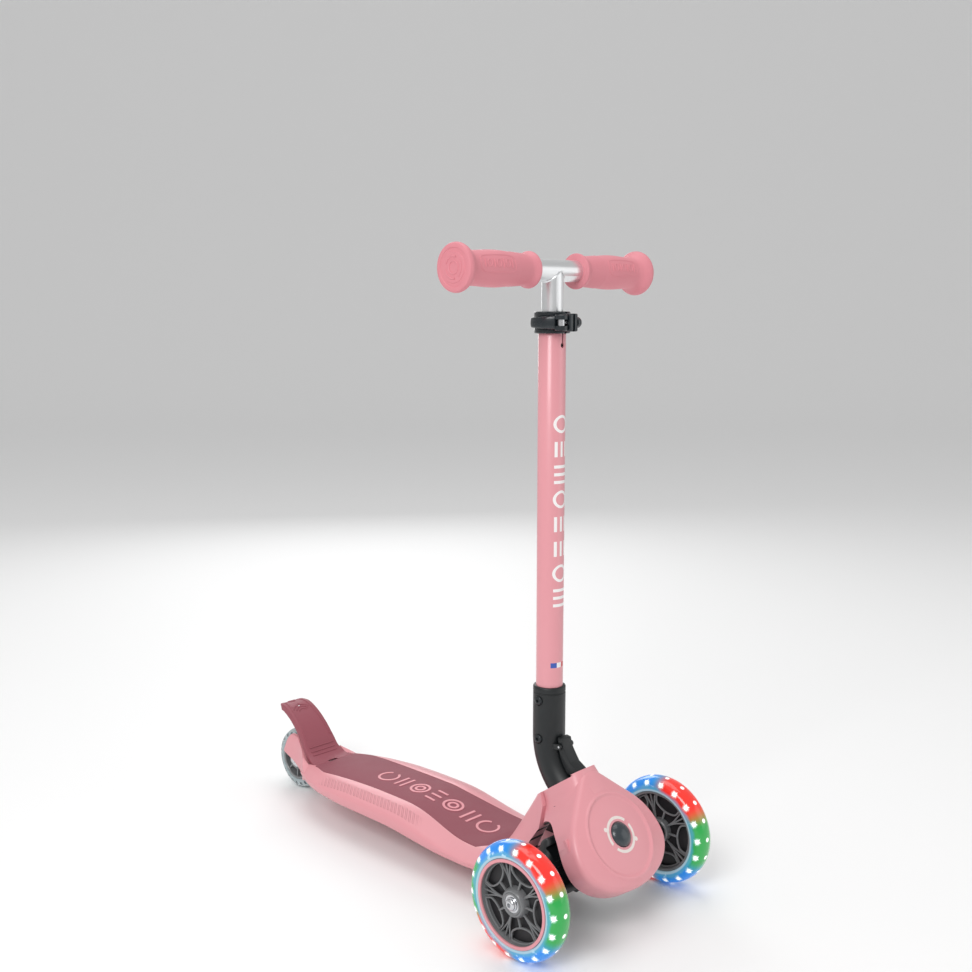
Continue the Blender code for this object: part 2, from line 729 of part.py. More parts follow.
def deck_shell():
    deck = loft([deck_section(y) for y in deck_stations()])
    back = block((-0.1, 0.025, -0.2), (0.1, 0.12, -SPLIT_DEPTH + 0.006), FACE_FRAME)
    neck = keep(neck_form(0, 0.004), back)
    join(deck, neck, stay_shape(1), stay_shape(-1))
    above = block((-0.12, NECK_TOP, -0.11), (0.12, 0.3, 0.1), FACE_FRAME)
    ahead = block((-0.12, -0.12, -SPLIT_DEPTH - GAP / 2), (0.12, 0.2, 0.2), FACE_FRAME)
    cut(deck, ahead, above, side_opening(), elbow_slot(), pad_form(GAP, 0.01))
    cut(deck, *deck_pockets())
    tongue = (TONGUE_HALF_WIDTH + GAP, TONGUE_REAR + GAP, TONGUE_HIGH + GAP)
    room = block((-tongue[0], -0.1, 0), tongue)
    frame_half = FRAME_HALF_WIDTH + GAP
    front_room = block((-frame_half, -0.1, 0), (frame_half, TUBE_SETBACK - 0.006, 0.3))
    wheel_front = WHEELBASE - REAR_WHEEL_RADIUS - 0.003
    wheel_room = block((-STAY_INNER, wheel_front, 0), (STAY_INNER, 0.7, 0.3))
    cut(deck, room, front_room, wheel_room)
    barrel = BARREL_RADIUS + RUNNING_GAP
    barrel_half = (TAIL_ROOT_HALF + GAP) * X_AXIS
    tail_room = rod(barrel, TAIL_HINGE - barrel_half, TAIL_HINGE + barrel_half)
    half = TAIL_ROOT_HALF
    back = TAIL_HINGE.y
    tail_step = plate([(back + y, TAIL_HINGE.z + z) for y, z in TAIL_STEP], -half, half)
    tail_notch = block((-half, back - barrel, TAIL_HINGE.z), (half, back + 0.001, 0.3))
    cut(deck, tail_room, tail_step, tail_notch)
    pin_start = TAIL_HINGE - (TAIL_PIN_HALF + GAP) * X_AXIS
    pin_bore = rod(HINGE_PIN_RADIUS + GAP, pin_start, TAIL_HINGE + 0.08 * X_AXIS, 12)
    axle = AXLE_HALF + GAP
    axle_bore = rod(AXLE_RADIUS + GAP, REAR_AXLE - axle * X_AXIS, REAR_AXLE + axle * X_AXIS, 16)
    cut(deck, pin_bore, axle_bore)
    for x, y in SCREW_PLACES.values():
        cut(deck, rod(SCREW_RADIUS + GAP, (x, y, 0.02), (x, y, SCREW_TIP + GAP), 12))
    finish(deck, "deck_shell", PINK, ROOT)


def deck_grip_pad():
    finish(pad_form(0, 0.0003), "deck_grip_pad", MAROON, ROOT)


# The black frame inside the head, with the kingpin's and the fold pin's seats


def front_frame():
    half = FRAME_HALF_WIDTH
    base = block((-half, -0.026, -FRAME_REAR), (half, 0.0205, -FRAME_FRONT), FACE_FRAME)
    tongue = block((-TONGUE_HALF_WIDTH, 0.004, TONGUE_LOW), (TONGUE_HALF_WIDTH, TONGUE_REAR, TONGUE_HIGH))
    pieces = [tongue]
    pivot_up, pivot_depth = face_coordinates(FOLD_PIVOT)
    ear = [
        (0.018, -FRAME_FRONT - 0.0005),
        (0.030, -HUB_REAR - 0.0030),
        (pivot_up, -pivot_depth + KNUCKLE_RADIUS),
        (pivot_up, -pivot_depth - 0.0080),
        (0.0355, -HUB_REAR - 0.0065),
        (0.0230, -FRAME_FRONT - 0.0065),
        (0.018, -FRAME_FRONT - 0.0100),
    ]
    for sign in (-1, 1):
        near = sign * (KNUCKLE_HALF_WIDTH + 0.0004)
        far = sign * half
        pieces.append(plate(ear, near, far, FACE_FRAME))
        pieces.append(rod(KNUCKLE_RADIUS, FOLD_PIVOT + near * X_AXIS, FOLD_PIVOT + far * X_AXIS))
        wing_low = (min(sign * (half - 0.001), sign * WING_REACH), 0.0455, -0.0530)
        wing_high = (max(sign * (half - 0.001), sign * WING_REACH), 0.0520, -0.0320)
        pieces.append(block(wing_low, wing_high, FACE_FRAME))
    join(base, *pieces)
    bore = rod(KINGPIN_RADIUS + GAP, (0, 0, -0.04), (0, 0, -0.10), 16, FACE_FRAME)
    pin = rod(FOLD_PIN_RADIUS + GAP, FOLD_PIVOT - 0.05 * X_AXIS, FOLD_PIVOT + 0.05 * X_AXIS, 16)
    cut(base, bore, pin)
    for x, y in SCREW_PLACES.values():
        cut(base, rod(SCREW_RADIUS + GAP, (x, y, 0.0), (x, y, 0.05), 12))
    finish(base, "front_frame", BLACK, ROOT)


def frame_screws():
    for side, (x, y) in SCREW_PLACES.items():
        head = rod(0.0042, (x, y, TONGUE_LOW - 0.0025), (x, y, TONGUE_LOW - GAP), 16)
        join(head, rod(SCREW_RADIUS, (x, y, TONGUE_LOW - 0.001), (x, y, SCREW_TIP), 12))
        finish(head, f"frame_screw_{side}", STEEL, ROOT)


def fold_pin():
    reach = (FRAME_HALF_WIDTH - GAP) * X_AXIS
    finish(rod(FOLD_PIN_RADIUS, FOLD_PIVOT - reach, FOLD_PIVOT + reach, 16), "fold_pin", STEEL, ROOT)


def kingpin():
    top = -HUB_FRONT + 0.0055
    head = rod(KINGPIN_HEAD_RADIUS, (0, 0, top), (0, 0, -HUB_FRONT + GAP), 20, FACE_FRAME)
    shank = rod(KINGPIN_RADIUS, (0, 0, -HUB_FRONT + 0.001), (0, 0, -FRAME_REAR - 0.0075), 16, FACE_FRAME)
    join(head, shank)
    finish(head, "kingpin", STEEL, ROOT)
    nut = rod(0.0078, (0, 0, -FRAME_REAR - GAP), (0, 0, -FRAME_REAR - 0.0065), 6, FACE_FRAME)
    cut(nut, rod(KINGPIN_RADIUS + GAP, (0, 0, 0), (0, 0, -0.1), 16, FACE_FRAME))
    finish(nut, "kingpin_nut", STEEL, ROOT)


def centring_spring():
    spring = coil(0.0088, 2.4, 0.0009, -FRAME_FRONT + 0.0014, -HUB_REAR - 0.0014, FACE_FRAME)
    finish(spring, "centring_spring", STEEL, ROOT)


def lock_button():
    seat = -COVER_WALL - GAP
    flange = BUTTON_RADIUS + BUTTON_FLANGE
    dome = [(0.0, 0.0062), (0.0055, 0.0056), (0.0100, 0.0036), (BUTTON_RADIUS - 0.0006, 0.0008)]
    dome += [(BUTTON_RADIUS, -0.0010), (BUTTON_RADIUS, seat), (flange, seat)]
    dome += [(flange, -0.0052), (0.0, -0.0052)]
    button = turned(dome, FACE_CENTRE, FACE_FRAME.to_3x3() @ Z_AXIS, 20, ring=False)
    tip = HUB_FRONT - BUTTON_TRAVEL - 0.0008
    plunger = rod(PLUNGER_RADIUS, (0, PLUNGER_OFFSET, -0.0045), (0, PLUNGER_OFFSET, -tip), 12, FACE_FRAME)
    join(button, plunger)
    finish(button, "steering_lock_button", SLATE, LOCK)
    start = 0.0052 + 0.0011
    end = BRIDGE_DEPTH - 0.0011
    below = FACE_FRAME @ Matrix.Translation((0, -0.001, 0))
    spring = coil(0.0062, 2.0, 0.0006, -end, -start, below)
    finish(spring, "lock_button_spring", STEEL, ROOT)


# The carrier that leans the front wheels


def carrier_ring(x, front, rear, low, high):
    points = []
    for i in range(16):
        angle = 2 * math.pi * (i + 0.5) / 16
        across, along = math.cos(angle), math.sin(angle)
        soft = (abs(across) ** 3.2 + abs(along) ** 3.2) ** (-1 / 3.2)
        depth = (front + rear) / 2 + (rear - front) / 2 * soft * across
        up = (low + high) / 2 + (high - low) / 2 * soft * along
        points.append((x, up, -depth))
    return points


def front_carrier():
    axle_up, axle_depth = face_coordinates(FRONT_AXLE)
    boss_end = CARRIER_BOSS_END
    radius = CARRIER_BOSS_RADIUS
    stations = [
        (0.0, HUB_FRONT, HUB_REAR, -0.026, 0.022),
        (0.022, HUB_FRONT, HUB_REAR, -0.026, 0.022),
        (0.036, 0.0400, 0.0590, -0.030, 0.0275),
        (0.055, 0.0410, 0.0610, -0.030, 0.0280),
        (0.068, 0.0410, 0.0630, -0.029, 0.0120),
    ]
    low, high = axle_up - radius, axle_up + radius
    stations.append((boss_end - 0.018, axle_depth - radius, axle_depth + radius, low, high))
    stations.append((boss_end, axle_depth - radius, axle_depth + radius, low, high))
    half = [carrier_ring(*station) for station in stations]
    other = [carrier_ring(-station[0], *station[1:]) for station in reversed(stations[1:])]
    carrier = loft(other + half, FACE_FRAME)
    cut(carrier, rod(KINGPIN_RADIUS + BUSH_WALL + 2 * GAP, (0, 0, 0), (0, 0, -0.1), 20, FACE_FRAME))
    for sign in (-1, 1):
        start = FRONT_AXLE + sign * (boss_end - AXLE_GRIP - 0.002) * X_AXIS
        end = FRONT_AXLE + sign * (boss_end + 0.01) * X_AXIS
        cut(carrier, rod(AXLE_RADIUS + GAP, start, end, 16))
    finish(carrier, "front_carrier", BLACK, STEERING)
    for name, near in (("kingpin_bush_front", HUB_FRONT), ("kingpin_bush_rear", HUB_REAR - 0.008)):
        bore = KINGPIN_RADIUS + GAP
        bush = washer(bore + BUSH_WALL, bore, face_point(0, 0, near), face_point(0, 0, near + 0.008))
        finish(bush, name, BRONZE, STEERING)


def front_axles():
    for side, sign in (("left", 1), ("right", -1)):
        out = sign * X_AXIS
        face = FRONT_TRACK / 2 + HUB_WIDTH / 2
        base = FRONT_AXLE + (face + GAP) * out
        dome = [(0.0, 0.0040), (0.0034, 0.0036), (0.0060, 0.0022), (0.0068, 0.0008)]
        dome += [(0.0068, 0.0), (0.0, 0.0)]
        bolt = turned(dome, base, out, 16, ring=False)
        tip = FRONT_AXLE + (CARRIER_BOSS_END - AXLE_GRIP) * out
        join(bolt, rod(AXLE_RADIUS, base + 0.001 * out, tip, 12))
        socket = rod(0.0025, base + 0.0018 * out, base + 0.006 * out, 6)
        cut(bolt, socket)
        finish(bolt, f"front_axle_bolt_{side}", STEEL, STEERING)
        start = FRONT_AXLE + (CARRIER_BOSS_END + GAP) * out
        end = FRONT_AXLE + (CARRIER_BOSS_END + SPACER_LENGTH - GAP) * out
        spacer = washer(SPACER_RADIUS, AXLE_RADIUS + GAP, start, end, 16)
        finish(spacer, f"axle_spacer_{side}", STEEL, STEERING)


# Wheels


def tyre_profile(radius, width, bore, channel=None):
    """A tyre's section, with a channel in its bore for a ring of lights."""
    half = width / 2
    outside = [(bore, half), (radius - 0.0045, half - 0.0012)]
    outside += [(radius - 0.0012, half - 0.0055), (radius, 0.0)]
    mirrored = [(r, -z) for r, z in reversed(outside[:-1])]
    inside = []
    if channel:
        floor = bore + channel[0]
        side = channel[1] / 2
        inside = [(bore, -side), (floor, -side), (floor, side), (bore, side)]
    return outside + mirrored + inside


def rim(centre, out, radius, width, spokes, sides):
    """Barrel, hub and a thin web, with straight ribs on both faces of the web."""
    hub = BEARING_RADIUS + GAP + 0.0024
    seat = BEARING_RADIUS + GAP
    shoulder = BEARING_RADIUS - 0.0025
    half = width / 2
    ledge = half - BEARING_WIDTH - GAP
    web = 0.0015
    barrel = 0.0028
    profile = [(radius, half), (radius, -half), (radius - barrel, -half), (radius - barrel, -web)]
    profile += [(hub, -web), (hub, -half), (seat, -half), (seat, -ledge), (shoulder, -ledge)]
    profile += [(shoulder, ledge), (seat, ledge), (seat, half), (hub, half), (hub, web)]
    profile += [(radius - barrel, web), (radius - barrel, half)]
    body = turned(profile, centre, out, sides)
    turn = Matrix.Translation(centre) @ Vector(out).to_track_quat("Z", "Y").to_matrix().to_4x4()
    for i in range(spokes):
        place = turn @ Matrix.Rotation(2 * math.pi * i / spokes, 4, "Z")
        start = (hub - 0.001, -0.0011, -half + 0.0025)
        end = (radius - barrel + 0.001, 0.0011, half - 0.0025)
        join(body, block(start, end, place))
    return body


def bearing(centre, out, place):
    middle = Vector(centre) + place * Vector(out)
    reach = BEARING_WIDTH / 2 * Vector(out)
    return washer(BEARING_RADIUS, AXLE_RADIUS + GAP, middle - reach, middle + reach, 12)


def front_wheels():
    for side, sign in (("left", 1), ("right", -1)):
        body = FRONT_WHEELS[side]
        out = sign * X_AXIS
        centre = FRONT_AXLE + FRONT_TRACK / 2 * out
        bore = FRONT_RIM_RADIUS + GAP
        channel = (LIGHT_RING_DEPTH + 2 * GAP, LIGHT_RING_WIDTH + 2 * GAP)
        section = tyre_profile(FRONT_WHEEL_RADIUS, FRONT_WHEEL_WIDTH, bore, channel)
        tyre = turned(section, centre, out, 28)
        finish(tyre, f"front_tyre_{side}", CLEAR, body)
        width = HUB_WIDTH
        wheel = rim(centre, out, FRONT_RIM_RADIUS, width, FRONT_RIM_RIBS, 20)
        finish(wheel, f"front_rim_{side}", GREY, body)
        reach = LIGHT_RING_WIDTH / 2 * out
        ring = washer(bore + GAP + LIGHT_RING_DEPTH, bore + GAP, centre - reach, centre + reach, 28)
        finish(ring, f"light_ring_{side}", LIGHTS, body)
        start = centre + (width / 2 + GAP) * out
        end = centre + (FRONT_WHEEL_WIDTH / 2 + 0.0004) * out
        trim = washer(FRONT_RIM_RADIUS - GAP, FRONT_RIM_RADIUS - TRIM_RING_WIDTH, start, end, 24)
        finish(trim, f"trim_ring_{side}", PINK, body)
        place = width / 2 - BEARING_WIDTH / 2
        finish(bearing(centre, out, place), f"outer_bearing_{side}", STEEL, body)
        finish(bearing(centre, out, -place), f"inner_bearing_{side}", STEEL, body)


def rear_wheel():
    bore = REAR_RIM_RADIUS + GAP
    section = tyre_profile(REAR_WHEEL_RADIUS, REAR_WHEEL_WIDTH, bore)
    tyre = turned(section, REAR_AXLE, X_AXIS, 24)
    finish(tyre, "rear_tyre", CLEAR, REAR_WHEEL)
    width = REAR_WHEEL_WIDTH
    finish(rim(REAR_AXLE, X_AXIS, REAR_RIM_RADIUS, width, 0, 20), "rear_rim", GREY, REAR_WHEEL)
    place = width / 2 - BEARING_WIDTH / 2
    finish(bearing(REAR_AXLE, X_AXIS, place), "rear_bearing_left", STEEL, REAR_WHEEL)
    finish(bearing(REAR_AXLE, X_AXIS, -place), "rear_bearing_right", STEEL, REAR_WHEEL)
    axle = rod(AXLE_RADIUS, REAR_AXLE - AXLE_HALF * X_AXIS, REAR_AXLE + AXLE_HALF * X_AXIS, 16)
    finish(axle, "rear_axle", STEEL, ROOT)
    for side, sign in (("left", 1), ("right", -1)):
        start = REAR_AXLE + sign * (REAR_WHEEL_WIDTH / 2 + GAP) * X_AXIS
        end = REAR_AXLE + sign * (STAY_INNER - GAP) * X_AXIS
        spacer = washer(SPACER_RADIUS, AXLE_RADIUS + GAP, start, end, 16)
        finish(spacer, f"rear_spacer_{side}", STEEL, ROOT)


# The tail: a sprung brake flap over the rear wheel


def brake_flap():
    points = [Vector((0, TAIL_HINGE.y + back, TAIL_HINGE.z + up)) for back, up, _, _ in TAIL_PATH]
    rings = []
    wall = 0.0025
    for i, (point, (_, _, half, flange)) in enumerate(zip(points, TAIL_PATH)):
        along = (points[min(i + 1, len(points) - 1)] - points[max(i - 1, 0)]).normalized()
        under = Vector((0, along.z, -along.y))
        skin = min(TAIL_SKIN, flange - 0.0004)
        section = [(-half, flange), (-half, 0.001), (-half + 0.0012, 0), (half - 0.0012, 0), (half, 0.001)]
        section += [(half, flange), (half - wall, flange), (half - wall, skin)]
        section += [(-half + wall, skin), (-half + wall, flange)]
        rings.append([point + x * X_AXIS + depth * under for x, depth in section])
    flap = loft(rings)
    for sign in (-1, 1):
        near, far = sign * SPRING_ROOM, sign * (TAIL_ROOT_HALF - GAP)
        join(flap, rod(BARREL_RADIUS, TAIL_HINGE + near * X_AXIS, TAIL_HINGE + far * X_AXIS, 16))
    bore = rod(HINGE_PIN_RADIUS + GAP, TAIL_HINGE - 0.04 * X_AXIS, TAIL_HINGE + 0.04 * X_AXIS, 12)
    spring_reach = SPRING_ROOM * X_AXIS
    spring_room = rod(BARREL_RADIUS + 0.0002, TAIL_HINGE - spring_reach, TAIL_HINGE + spring_reach)
    loop = TAIL_HINGE + Vector((0, 0.072, 0.060))
    through = 0.02 * Vector((0, -0.3, 0.95))
    hole = rod(TAIL_HOLE_RADIUS, loop - through, loop + through, 12)
    cut(flap, bore, spring_room, hole)
    finish(flap, "brake_flap", MAROON, TAIL)
    pin_reach = TAIL_PIN_HALF * X_AXIS
    pin = rod(HINGE_PIN_RADIUS, TAIL_HINGE - pin_reach, TAIL_HINGE + pin_reach, 12)
    finish(pin, "brake_pin", STEEL, ROOT)
    across = Matrix.Translation(TAIL_HINGE) @ Matrix.Rotation(math.pi / 2, 4, "Y")
    spring = coil(0.0029, 3, 0.0005, -0.0055, 0.0055, across)
    finish(spring, "brake_spring", STEEL, ROOT)
    brake_pad(points[3], points[4])


def brake_pad(low, high):
    """The friction plate under the flap, square to the line from the axle."""
    along = (high - low).normalized()
    out = Vector((0, -along.z, along.y))
    foot = REAR_AXLE + out * (low - REAR_AXLE).dot(out)
    frame = Matrix.Translation(foot) @ Matrix((X_AXIS, along, out)).transposed().to_4x4()
    top = -TAIL_SKIN - GAP
    pad = block((-0.012, 0.003, top - 0.0035), (0.012, 0.015, top), frame)
    finish(pad, "brake_pad", STEEL, TAIL)


# The stem: elbow, outer tube, clamp and fold lever


def stem_elbow():
    path = [(Vector((0, TUBE_SETBACK, ELBOW_TOP)), 0.0)]
    for i in range(5):
        angle = BEND_ANGLE * i / 4
        path.append((bend_point(angle), angle))
    path.append((FOLD_PIVOT + TUBE_START * BEND_WAY, BEND_ANGLE))
    rings = []
    for centre, angle in path:
        across = Vector((0, math.cos(angle), -math.sin(angle)))
        ring = []
        for i in range(ELBOW_SIDES):
            turn = 2 * math.pi * i / ELBOW_SIDES
            ring.append(centre + ELBOW_RADIUS * (math.cos(turn) * X_AXIS + math.sin(turn) * across))
        rings.append(ring)
    elbow = loft(rings)
    half = KNUCKLE_HALF_WIDTH * X_AXIS
    knuckle = rod(KNUCKLE_RADIUS, FOLD_PIVOT - half, FOLD_PIVOT + half)
    frame = Matrix.Translation(FOLD_PIVOT) @ Matrix.Rotation(-BEND_ANGLE, 4, "X")
    side = KNUCKLE_RADIUS - 0.0005
    web = block((-KNUCKLE_HALF_WIDTH, -side, 0), (KNUCKLE_HALF_WIDTH, side, TUBE_START + 0.002), frame)
    join(elbow, knuckle, web)
    ahead = FOLD_LEVER_PIVOT
    behind = bend_point(math.radians(9), ELBOW_BEND_RADIUS - ELBOW_RADIUS + 0.004)
    lug = 0.003
    outline = [(ahead.y, ahead.z - lug), (behind.y, behind.z - lug)]
    outline += [(behind.y, behind.z + lug), (ahead.y, ahead.z + lug)]
    for sign in (-1, 1):
        near = sign * (LEVER_HALF_WIDTH + GAP)
        far = sign * (LEVER_HALF_WIDTH + lug)
        boss = rod(lug, ahead + near * X_AXIS, ahead + far * X_AXIS, 12)
        join(elbow, boss, plate(outline, near, far))
    axis = Vector((0, TUBE_SETBACK, 0))
    socket = rod(OUTER_TUBE_RADIUS + GAP, axis + SOCKET_FLOOR * Z_AXIS, axis + 0.3 * Z_AXIS, 24)
    pin = rod(FOLD_PIN_RADIUS + GAP, FOLD_PIVOT - 0.03 * X_AXIS, FOLD_PIVOT + 0.03 * X_AXIS, 16)
    lever_pin = rod(LEVER_PIN_RADIUS + GAP, ahead - 0.03 * X_AXIS, ahead + 0.03 * X_AXIS, 12)
    cut(elbow, socket, pin, lever_pin)
    face = -ELBOW_RADIUS + 0.0011
    for height in SCREW_HEIGHTS.values():
        level = axis + height * Z_AXIS
        cut(elbow, rod(0.0056, level - 0.03 * X_AXIS, level + face * X_AXIS, 16))
        cut(elbow, rod(SCREW_RADIUS + GAP, level - 0.03 * X_AXIS, level - 0.008 * X_AXIS, 12))
    finish(elbow, "stem_elbow", BLACK, STEM)
    seat = face - GAP
    for name, height in SCREW_HEIGHTS.items():
        level = axis + height * Z_AXIS
        head = rod(0.0048, level + (seat - 0.0022) * X_AXIS, level + seat * X_AXIS, 16)
        join(head, rod(SCREW_RADIUS, level + (seat - 0.001) * X_AXIS, level - 0.0105 * X_AXIS, 12))
        cut(head, rod(0.0022, level - 0.03 * X_AXIS, level + (seat - 0.0008) * X_AXIS, 6))
        finish(head, f"elbow_screw_{name}", BLACK, STEM)


def outer_tube():
    axis = Vector((0, TUBE_SETBACK, 0))
    bore = OUTER_TUBE_RADIUS - TUBE_WALL
    tube = washer(OUTER_TUBE_RADIUS, bore, axis + TUBE_BOTTOM * Z_AXIS, axis + TUBE_TOP * Z_AXIS, 20)
    for height in SCREW_HEIGHTS.values():
        level = axis + height * Z_AXIS
        cut(tube, rod(SCREW_RADIUS + GAP, level - 0.03 * X_AXIS, level - 0.008 * X_AXIS, 12))
    for setting in range(HEIGHT_SETTINGS):
        height = BUTTON_HOLE_HEIGHT + setting * HEIGHT_STEP
        start = axis + Vector((0, 0.008, height))
        cut(tube, rod(SNAP_BUTTON_RADIUS + 0.0005, start, start + 0.02 * Y_AXIS, 12))
    cut(tube, *tube_slit())
    finish(tube, "outer_tube", PINK_PAINT, STEM)
    sleeve_bore = INNER_TUBE_RADIUS + GAP
    sleeve_outer = bore - GAP
    base = axis + (TUBE_TOP - SLEEVE_LENGTH) * Z_AXIS
    flange = SLEEVE_LENGTH + GAP
    profile = [(OUTER_TUBE_RADIUS, flange + 0.0015), (OUTER_TUBE_RADIUS, flange), (sleeve_outer, flange)]
    profile += [(sleeve_outer, 0), (sleeve_bore, 0), (sleeve_bore, flange + 0.0015)]
    sleeve = turned(profile, base, Z_AXIS, 20)
    cut(sleeve, *tube_slit())
    finish(sleeve, "tube_sleeve", BLACK, STEM)


def tube_slit():
    """The slit that lets the tube's end close on the inner tube, with its round end."""
    slit = block((-SLIT_HALF_WIDTH, 0.0, SLIT_BOTTOM), (SLIT_HALF_WIDTH, TUBE_SETBACK, 0.7))
    end = rod(0.0026, (0, 0, SLIT_BOTTOM), (0, TUBE_SETBACK, SLIT_BOTTOM), 12)
    return slit, end


def seat_clamp():
    axis = Vector((0, TUBE_SETBACK, 0))
    low = CLAMP_TOP - CLAMP_HEIGHT
    bore = OUTER_TUBE_RADIUS + GAP
    collar = washer(CLAMP_RADIUS, bore, axis + low * Z_AXIS, axis + CLAMP_TOP * Z_AXIS, 20)
    ear_low = (-EAR_REACH, CLAMP_PIVOT.y - 0.0055, low + 0.002)
    ear_high = (EAR_REACH, TUBE_SETBACK - bore - 0.001, CLAMP_TOP - 0.002)
    ears = block(ear_low, ear_high, rounding=0.0012)
    join(collar, ears)
    gap = block((-0.0015, 0.0, 0.5), (0.0015, TUBE_SETBACK, 0.7))
    bolt_hole = rod(BOLT_RADIUS + GAP, CLAMP_PIVOT, CLAMP_PIVOT + 0.05 * X_AXIS, 12)
    cut(collar, gap, bolt_hole)
    finish(collar, "clamp_collar", SLATE, STEM)
    bolt = rod(BOLT_RADIUS, CLAMP_PIVOT, Vector((0.0125, CLAMP_PIVOT.y, CLAMP_PIVOT.z)), 12)
    eye = rod(0.0036, CLAMP_PIVOT - 0.003 * Z_AXIS, CLAMP_PIVOT + 0.003 * Z_AXIS, 16)
    pin = rod(CLAMP_PIN_RADIUS, CLAMP_PIVOT - 0.0078 * Z_AXIS, CLAMP_PIVOT + 0.0078 * Z_AXIS, 12)
    join(bolt, eye, pin)
    finish(bolt, "clamp_bolt", STEEL, STEM)
    nut_base = Vector((EAR_REACH + GAP, CLAMP_PIVOT.y, CLAMP_PIVOT.z))
    nut_bore = BOLT_RADIUS + GAP
    profile = [(0.0035, 0.0070), (0.0054, 0.0055), (0.0060, 0.0030), (0.0060, 0)]
    profile += [(nut_bore, 0), (nut_bore, 0.0070)]
    nut = turned(profile, nut_base, X_AXIS, 16)
    finish(nut, "clamp_nut", SLATE, STEM)


def clamp_lever():
    """A cam on the bolt's pin, and an arm curled round the collar."""
    low = CLAMP_PIVOT.z - LEVER_HALF_HEIGHT
    high = CLAMP_PIVOT.z + LEVER_HALF_HEIGHT
    lever = rod(CAM_RADIUS, (CLAMP_PIVOT.x, CLAMP_PIVOT.y, low), (CLAMP_PIVOT.x, CLAMP_PIVOT.y, high), 20)
    rings = []
    count = 9
    for i in range(count):
        share = i / (count - 1)
        angle = math.radians(238 - 88 * share)
        inner = CLAMP_RADIUS + 0.0010
        outer = inner + 0.0080 - 0.0035 * share
        slim = 0.0010 + 0.0020 * share
        bottom = low + slim
        top = high - slim
        section = [(inner, bottom), (outer, bottom + 0.001), (outer, top - 0.001), (inner, top)]
        ring = []
        for radius, height in section:
            ring.append((radius * math.cos(angle), TUBE_SETBACK + radius * math.sin(angle), height))
        rings.append(ring)
    join(lever, loft(rings))
    slot_half = 0.0033
    slot_low = (-0.04, CLAMP_PIVOT.y - 0.02, CLAMP_PIVOT.z - slot_half)
    slot = block(slot_low, (0.0, CLAMP_PIVOT.y + 0.0042, CLAMP_PIVOT.z + slot_half))
    bore = rod(CLAMP_PIN_RADIUS + GAP, CLAMP_PIVOT - 0.02 * Z_AXIS, CLAMP_PIVOT + 0.02 * Z_AXIS, 12)
    clear = block((-EAR_REACH - 0.0006, 0, 0.5), (0.05, TUBE_SETBACK - 0.01, 0.7))
    cut(lever, slot, bore, clear)
    finish(lever, "clamp_lever", SLATE, CLAMP)


def fold_lever():
    """The finger lever in front of the elbow, whose tip sits in the neck's mouth."""
    inner = ELBOW_BEND_RADIUS - ELBOW_RADIUS - 0.0014
    outline = []
    for degrees in (-2, 9, 20, 31, 42):
        point = bend_point(math.radians(degrees), inner)
        outline.append((point.y, point.z))
    tip = face_point(0, 0.0665, 0.0115)
    outline += [(tip.y + 0.006, tip.z - 0.0035), (tip.y, tip.z), (tip.y + 0.0015, tip.z + 0.0045)]
    for degrees, stand_off in ((34, 0.0125), (22, 0.0115), (9, 0.0088), (-1, 0.0075)):
        point = bend_point(math.radians(degrees), inner - stand_off + 0.0014)
        outline.append((point.y, point.z))
    lever = plate(outline, -LEVER_HALF_WIDTH, LEVER_HALF_WIDTH)
    reach = 0.02 * X_AXIS
    cut(lever, rod(LEVER_PIN_RADIUS + GAP, FOLD_LEVER_PIVOT - reach, FOLD_LEVER_PIVOT + reach, 12))
    finish(lever, "fold_lever", BLACK, FOLD_LEVER)
    pin_reach = (LEVER_HALF_WIDTH + 0.0028) * X_AXIS
    pin = rod(LEVER_PIN_RADIUS, FOLD_LEVER_PIVOT - pin_reach, FOLD_LEVER_PIVOT + pin_reach, 12)
    finish(pin, "fold_lever_pin", STEEL, STEM)


# The sliding handlebar


def t_bar():
    axis = Vector((0, TUBE_SETBACK, 0))
    bottom = BUTTON_HOLE_HEIGHT - 0.025
    tube = rod(INNER_TUBE_RADIUS, axis + bottom * Z_AXIS, axis + (HANDLEBAR_HEIGHT - 0.002) * Z_AXIS, 20)
    bar_half = HANDLEBAR_WIDTH / 2 - GRIP_END
    join(tube, rod(INNER_TUBE_RADIUS, BAR_CENTRE - bar_half * X_AXIS, BAR_CENTRE + bar_half * X_AXIS, 20))
    bore = INNER_TUBE_RADIUS - TUBE_WALL
    cut(tube, rod(bore, axis + (bottom - 0.01) * Z_AXIS, BAR_CENTRE - 0.02 * Z_AXIS, 20))
    for sign in (-1, 1):
        cut(tube, rod(bore, BAR_CENTRE + sign * 0.02 * X_AXIS, BAR_CENTRE + sign * 0.2 * X_AXIS, 20))
    start = axis + Vector((0, 0.006, BUTTON_HOLE_HEIGHT))
    cut(tube, rod(SNAP_BUTTON_RADIUS + GAP, start, start + 0.02 * Y_AXIS, 16))
    finish(tube, "t_bar", ALUMINIUM, T_BAR)


def grips():
    bore = INNER_TUBE_RADIUS + GAP
    length = HANDLEBAR_WIDTH / 2 - GRIP_INNER_END
    disc = GRIP_DISC_RADIUS
    floor = length - GRIP_END + GAP
    profile = [(0.0, length), (disc - 0.005, length), (disc - 0.001, length - 0.0018)]
    profile += [(disc, length - 0.0040), (disc - 0.0008, length - 0.0068), (0.0195, length - 0.0110), (0.0168, length - 0.0170)]
    profile += [(0.0172, length * 0.72), (0.0180, length * 0.50), (0.0158, 0.0085), (0.0184, 0.0028)]
    profile += [(0.0184, 0.0008), (0.0172, 0.0), (bore, 0.0), (bore, floor), (0.0, floor)]
    for side, sign in (("left", 1), ("right", -1)):
        out = sign * X_AXIS
        grip = turned(profile, BAR_CENTRE + GRIP_INNER_END * out, out, 18, ring=False)
        finish(grip, f"grip_{side}", GRIP_RUBBER, T_BAR)


